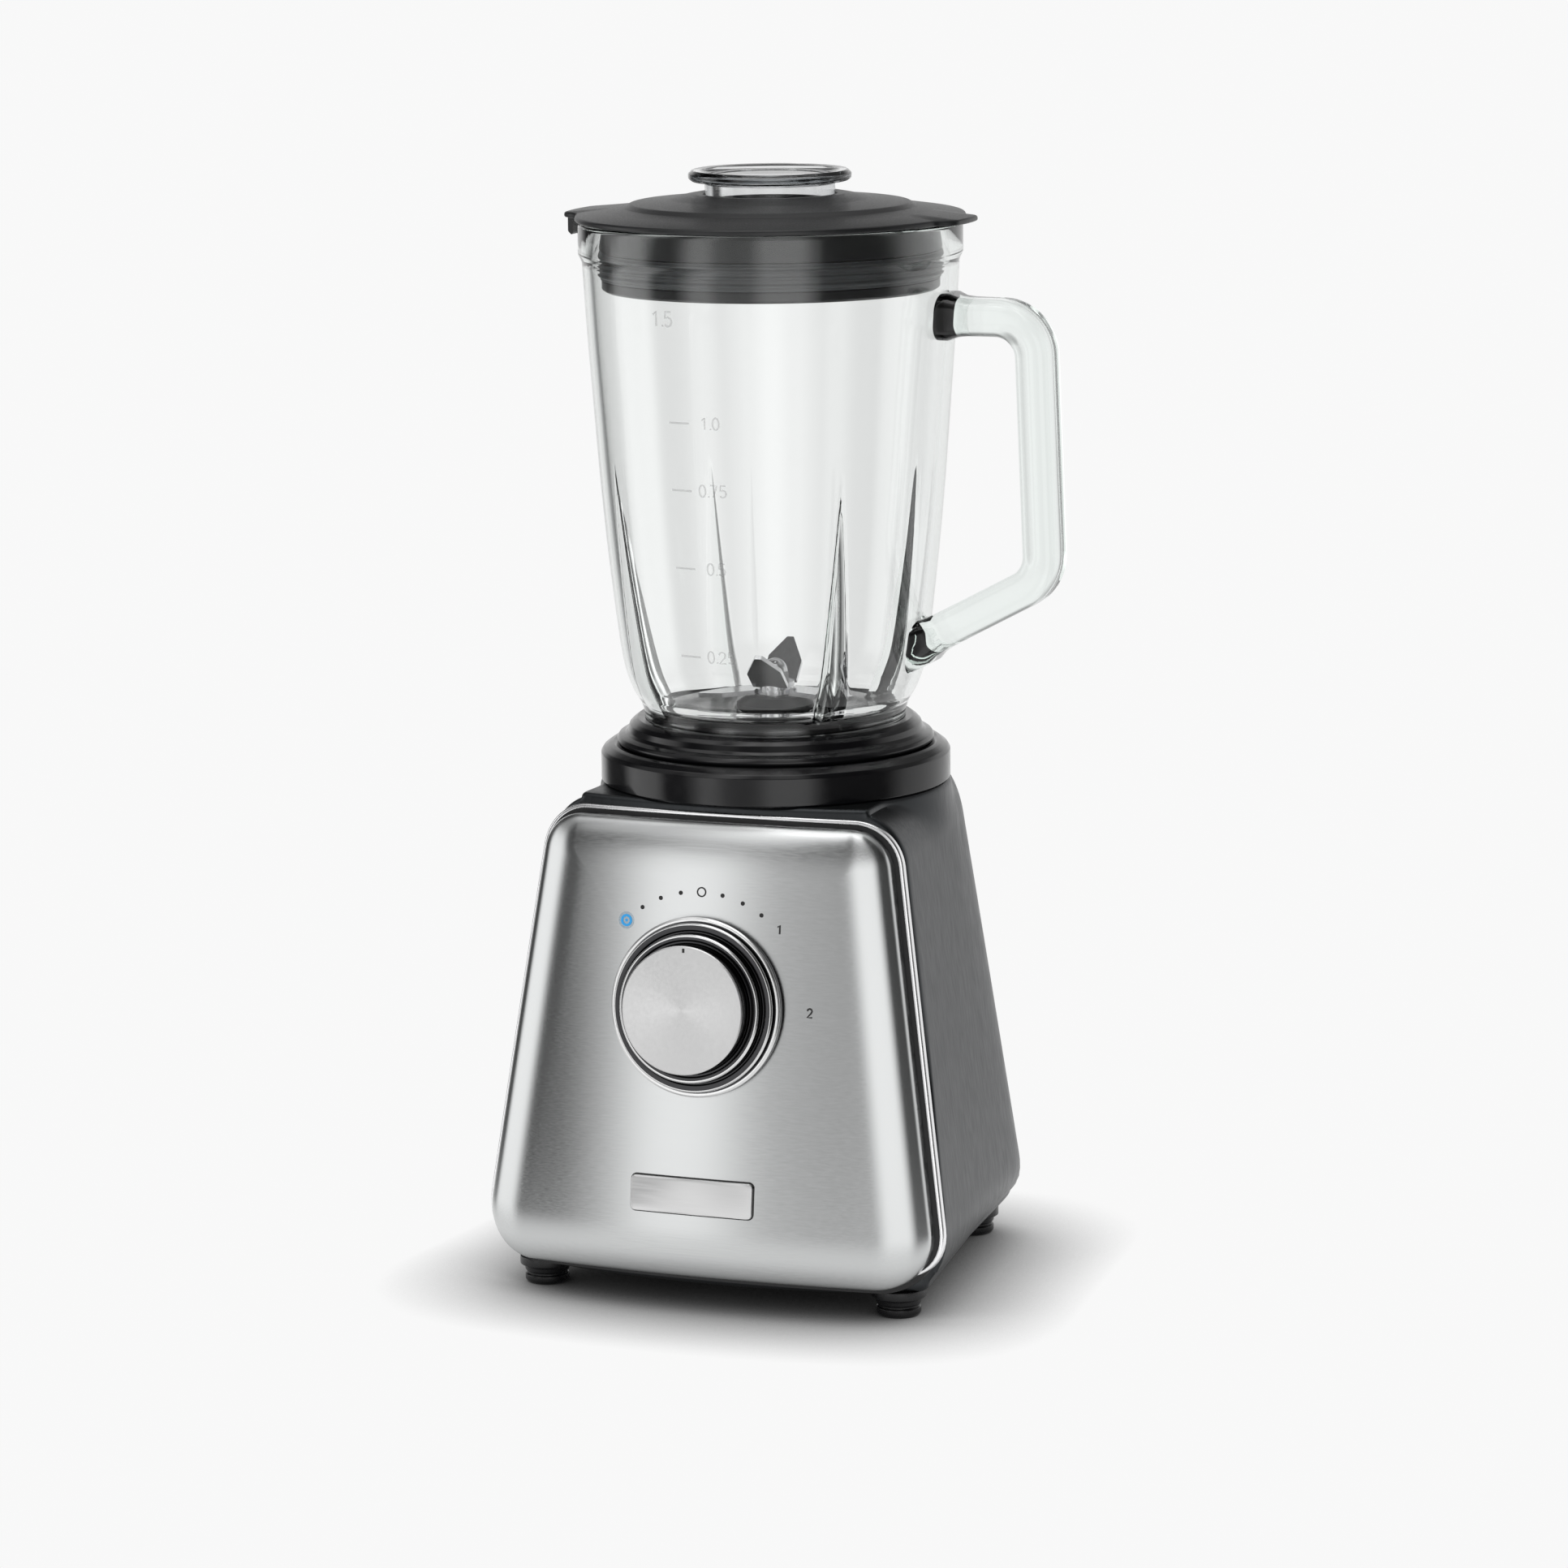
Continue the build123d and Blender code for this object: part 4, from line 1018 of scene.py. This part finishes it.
def make_lid():
    """Moulded lid: skirt, flange with two tabs, shallow cone and raised crest round the filler."""
    low, high = span("lid")
    skirt_z = low.z
    crest_z = high.z
    under = rim_z + 0.3
    skirt, flange = 60.6, 69.9
    profile = rounded((
        (skirt - 1.2, skirt_z), (skirt, skirt_z + 0.9), (skirt, skirt_z + 3.9), (skirt - 1.2, skirt_z + 4.1),
        (skirt - 1.2, skirt_z + 13.9), (skirt + 1.2, skirt_z + 14.2), (skirt + 1.2, under), (flange, under),
        (flange, under + 1.9), (58.5, under + 3.6), (52.5, under + 4.6), (50.0, under + 6.0),
        (36.0, crest_z - 1.8), (30.5, crest_z - 0.6), (27.0, crest_z), (23.9, crest_z),
        (23.9, crest_z - 6.0), (20.6, crest_z - 6.0),
        (20.6, crest_z - 14.0), (22.6, crest_z - 14.0), (23.0, crest_z - 9.0), (52.0, under + 2.0),
        (58.0, under - 1.0), (58.0, skirt_z)),
        [0.5, 0.5, 0.3, 0.2, 0.4, 0.4, 0.4, 0.7, 1.0, 6.0, 2.0, 3.0, 20.0, 3.0, 1.2, 0.7, 0.3, 0.4,
         0.3, 0.5, 0.5, 1, 1, 0.5], 5)
    angles = [index * 1.0 for index in range(360)]
    rings = []
    for r, z in profile:
        outer = r > 64.0
        rings.append([polar(r - flange + tab_reach(a, flange) if outer else r, a, z) for a in angles])
    piece("lid_moulding", skin(rings, loop=True), charcoal, 32, "lid", "lid_plastic", "lid")
    hook = rounded(((-75.9, under + 0.6), (-75.9, under - 5.6), (-74.5, under - 7.0), (-73.9, under - 6.0),
                    (-73.9, under + 0.6)), [0.2, 1.0, 0.4, 0.4, 0.2], 4)
    hook_rings = [[at(x, y, z) for x, z in hook] for y in (-6.4, -5.8, 0.0, 5.8, 6.4)]
    piece("lid_hook", skin(hook_rings), charcoal, 32, "lid", "lid_plastic")


def make_lid_seal():
    """Grey ring with three soft ribs round the lid's skirt."""
    low, high = span("lid_seal")
    inner, body = 59.4, 61.0
    points = [(inner, low.z), (body, low.z)]
    for index in range(3):
        z = low.z + 0.9 + index * 3.2
        points += [(body, z), (body + 0.95, z + 0.7), (body + 0.95, z + 1.2), (body, z + 1.9)]
    points += [(body, high.z), (inner, high.z)]
    piece("lid_seal_ribbed", skin(lathe_rings(rounded(points, 0.25, 3)), loop=True), seal_grey, 35,
          "lid", "seal_grey", "lid_seal")


def make_filler_cap():
    """Clear measuring cap with a hollow neck."""
    low, high = span("filler_cap")
    top = high.z
    radius = high.x
    profile = rounded((
        (0.02, top - 1.8), (radius - 6.4, top - 1.6), (radius - 4.4, top - 0.3), (radius - 1.4, top),
        (radius, top - 1.3), (radius, top - 3.0), (radius - 1.2, top - 4.0), (23.3, top - 4.1),
        (23.3, top - 14.0), (20.3, top - 14.0), (20.3, low.z), (18.3, low.z), (18.3, top - 5.0),
        (17.5, top - 4.0), (0.02, top - 4.0)),
        [0, 2.0, 1.2, 0.9, 0.9, 0.7, 0.8, 0.8, 0.4, 0.4, 0.5, 0.5, 0.8, 0.8, 0], 5)
    piece("filler_cap_clear", skin(lathe_rings(profile)), cap_clear, 35,
          "cap", "clear_plastic", "filler_cap")


# ---------------------------------------------------------------- stage, light and camera
backdrop_grey = 0.941
floor_radius = 1.6             # metres, as are the next two
floor_fade = (0.20, 0.42)      # the floor turns clear between these distances from the middle
shadow_reach = 0.05
shadow_depth = 1.8


def make_floor():
    """A white round floor that darkens where the object stands near and fades into the backdrop."""
    steps = 128
    angles = circle(steps)
    points = [Vector((floor_radius * cos(a), floor_radius * sin(a), 0)) for a in angles]
    material, nodes = new_material("stage_floor")
    nodes.remove(nodes["Principled BSDF"])
    white = added(nodes, "Emission")
    near = added(nodes, "AmbientOcclusion", Distance=shadow_reach)
    deepen = added(nodes, "Gamma", Gamma=shadow_depth)
    wire(near, "Color", deepen, "Color")
    wire(deepen, "Color", white, "Color")
    put(white, Strength=backdrop_grey)
    clear = added(nodes, "BsdfTransparent")
    place = added(nodes, "TexCoord")
    length = added(nodes, "VectorMath")
    length.operation = "LENGTH"
    fade = added(nodes, "MapRange")
    fade.interpolation_type = "SMOOTHSTEP"
    put(fade, From_Min=floor_fade[0], From_Max=floor_fade[1])
    mix = added(nodes, "MixShader")
    wire(place, "Object", length, 0)
    wire(length, "Value", fade, "Value")
    wire(fade, "Result", mix, "Fac")
    wire(white, "Emission", mix, 1)
    wire(clear, "BSDF", mix, 2)
    wire(mix, "Shader", nodes["Material Output"], "Surface")
    floor = build("stage_floor", (points, [tuple(range(steps))]), material)


view_azimuth = radians(21.16)
view_pitch = radians(-10.67)
view_roll = radians(-0.59)
view_place = (734.31, -1889.27, 558.7)
view_lens = 130.17


def make_camera():
    """The photo's view: above the object's middle, a little to the right and slightly rolled."""
    level = cos(view_pitch)
    forward = Vector((-sin(view_azimuth) * level, cos(view_azimuth) * level, sin(view_pitch)))
    right = forward.cross(Vector((0, 0, 1))).normalized()
    up = right.cross(forward)
    right, up = (right * cos(view_roll) + up * sin(view_roll),
                 up * cos(view_roll) - right * sin(view_roll))
    data = bpy.data.cameras.new("camera")
    data.sensor_width = 36.0
    data.lens = view_lens
    data.clip_end = 20.0
    camera = placed("camera", data)
    matrix = camera.matrix_world.to_3x3()
    for row in range(3):
        matrix[row][0], matrix[row][1], matrix[row][2] = right[row], up[row], -forward[row]
    camera.matrix_world = matrix.to_4x4()
    camera.location = at(*view_place)
    bpy.context.scene.camera = camera


def area_light(name, azimuth, elevation, distance, size, power):
    """A soft box that faces the object; azimuth 0 is in front, positive to the right."""
    turn, lift = radians(azimuth), radians(elevation)
    aim = at(0, 0, 190)
    away = Vector((sin(turn) * cos(lift), -cos(turn) * cos(lift), sin(lift)))
    data = bpy.data.lights.new(name, "AREA")
    data.shape = "RECTANGLE"
    data.size, data.size_y = size
    data.energy = power
    light = placed(name, data)
    light.location = aim + away * distance
    light.rotation_euler = away.to_track_quat("Z", "Y").to_euler()


def ramp_of(nodes, stops, low, high):
    """A map from an angle in degrees to grey, through (angle, value) stops."""
    scale = added(nodes, "MapRange", From_Min=radians(low), From_Max=radians(high))
    ramp = added(nodes, "ValToRGB")
    elements = ramp.color_ramp.elements
    while len(elements) < len(stops):
        elements.new(0.5)
    for element, (angle, value) in zip(elements, stops):
        element.position = (angle - low) / (high - low)
        element.color = (value, value, value, 1)
    return scale, ramp


def make_world():
    """A studio drawn by direction: soft boxes to the left and right, a white wall behind, dark between."""
    world = bpy.data.worlds.new("studio")
    bpy.context.scene.world = world
    world.use_nodes = True
    nodes = world.node_tree.nodes
    shade = nodes["Background"]
    put(shade, Strength=1.4)
    place = added(nodes, "TexCoord")
    parts = added(nodes, "SeparateXYZ")
    wire(place, "Generated", parts, "Vector")
    flip = added(nodes, "Math")
    flip.operation = "MULTIPLY"
    flip.inputs[1].default_value = -1.0
    wire(parts, "Y", flip, 0)
    turn = added(nodes, "Math")
    turn.operation = "ARCTAN2"
    wire(parts, "X", turn, 0)
    wire(flip, "Value", turn, 1)
    lift = added(nodes, "Math")
    lift.operation = "ARCSINE"
    wire(parts, "Z", lift, 0)
    tones = []
    for angle, stops, low, high in ((turn, round_tones, -180, 180), (lift, height_tones, -90, 90)):
        scale, ramp = ramp_of(nodes, stops, low, high)
        wire(angle, "Value", scale, "Value")
        wire(scale, "Result", ramp, "Fac")
        tones.append(ramp)
    both = added(nodes, "Mix")
    both.data_type = "RGBA"
    both.blend_type = "MULTIPLY"
    put(both, Factor=1.0)
    wire(tones[0], "Color", both, "A")
    wire(tones[1], "Color", both, "B")
    wire(both, "Result", shade, "Color")
    path = added(nodes, "LightPath")
    backdrop = added(nodes, "Background", Color=(backdrop_grey, backdrop_grey, backdrop_grey, 1))
    mix = added(nodes, "MixShader")
    wire(path, "Is Camera Ray", mix, "Fac")
    wire(shade, "Background", mix, 1)
    wire(backdrop, "Background", mix, 2)
    wire(mix, "Shader", nodes["World Output"], "Surface")


# grey by direction; azimuth 0 is in front and positive to the right
round_tones = ((-180, 0.62), (-135, 0.62), (-122, 0.06), (-98, 0.05), (-88, 0.95), (-64, 0.95), (-56, 0.05),
               (-41, 0.09), (-34, 0.50), (-28, 0.98), (-20, 0.98), (-12, 0.46), (-2, 0.36), (8, 0.40),
               (18, 1.0), (40, 1.0), (54, 0.06), (98, 0.05), (116, 0.56), (180, 0.62))
height_tones = ((-90, 1.0), (-6, 1.0), (14, 1.0), (24, 0.25), (40, 0.30), (60, 0.8), (90, 0.8))


def make_lights():
    """Two weak soft boxes that add to the drawn studio."""
    area_light("key", -30, 48, 1.6, (1.0, 1.0), 2)
    area_light("top", 10, 80, 1.4, (0.9, 0.9), 3)


bpy.context.scene.view_settings.view_transform = "Standard"
for make in (make_camera, make_world, make_lights, make_floor, paint_nodes, make_front_panel,
             make_edge_trim, make_badge, make_marks, make_pulse_light, make_dial, make_housing,
             make_feet, make_collar, make_blade_base, make_jug, make_scale, make_lid,
             make_lid_seal, make_filler_cap):
    make()
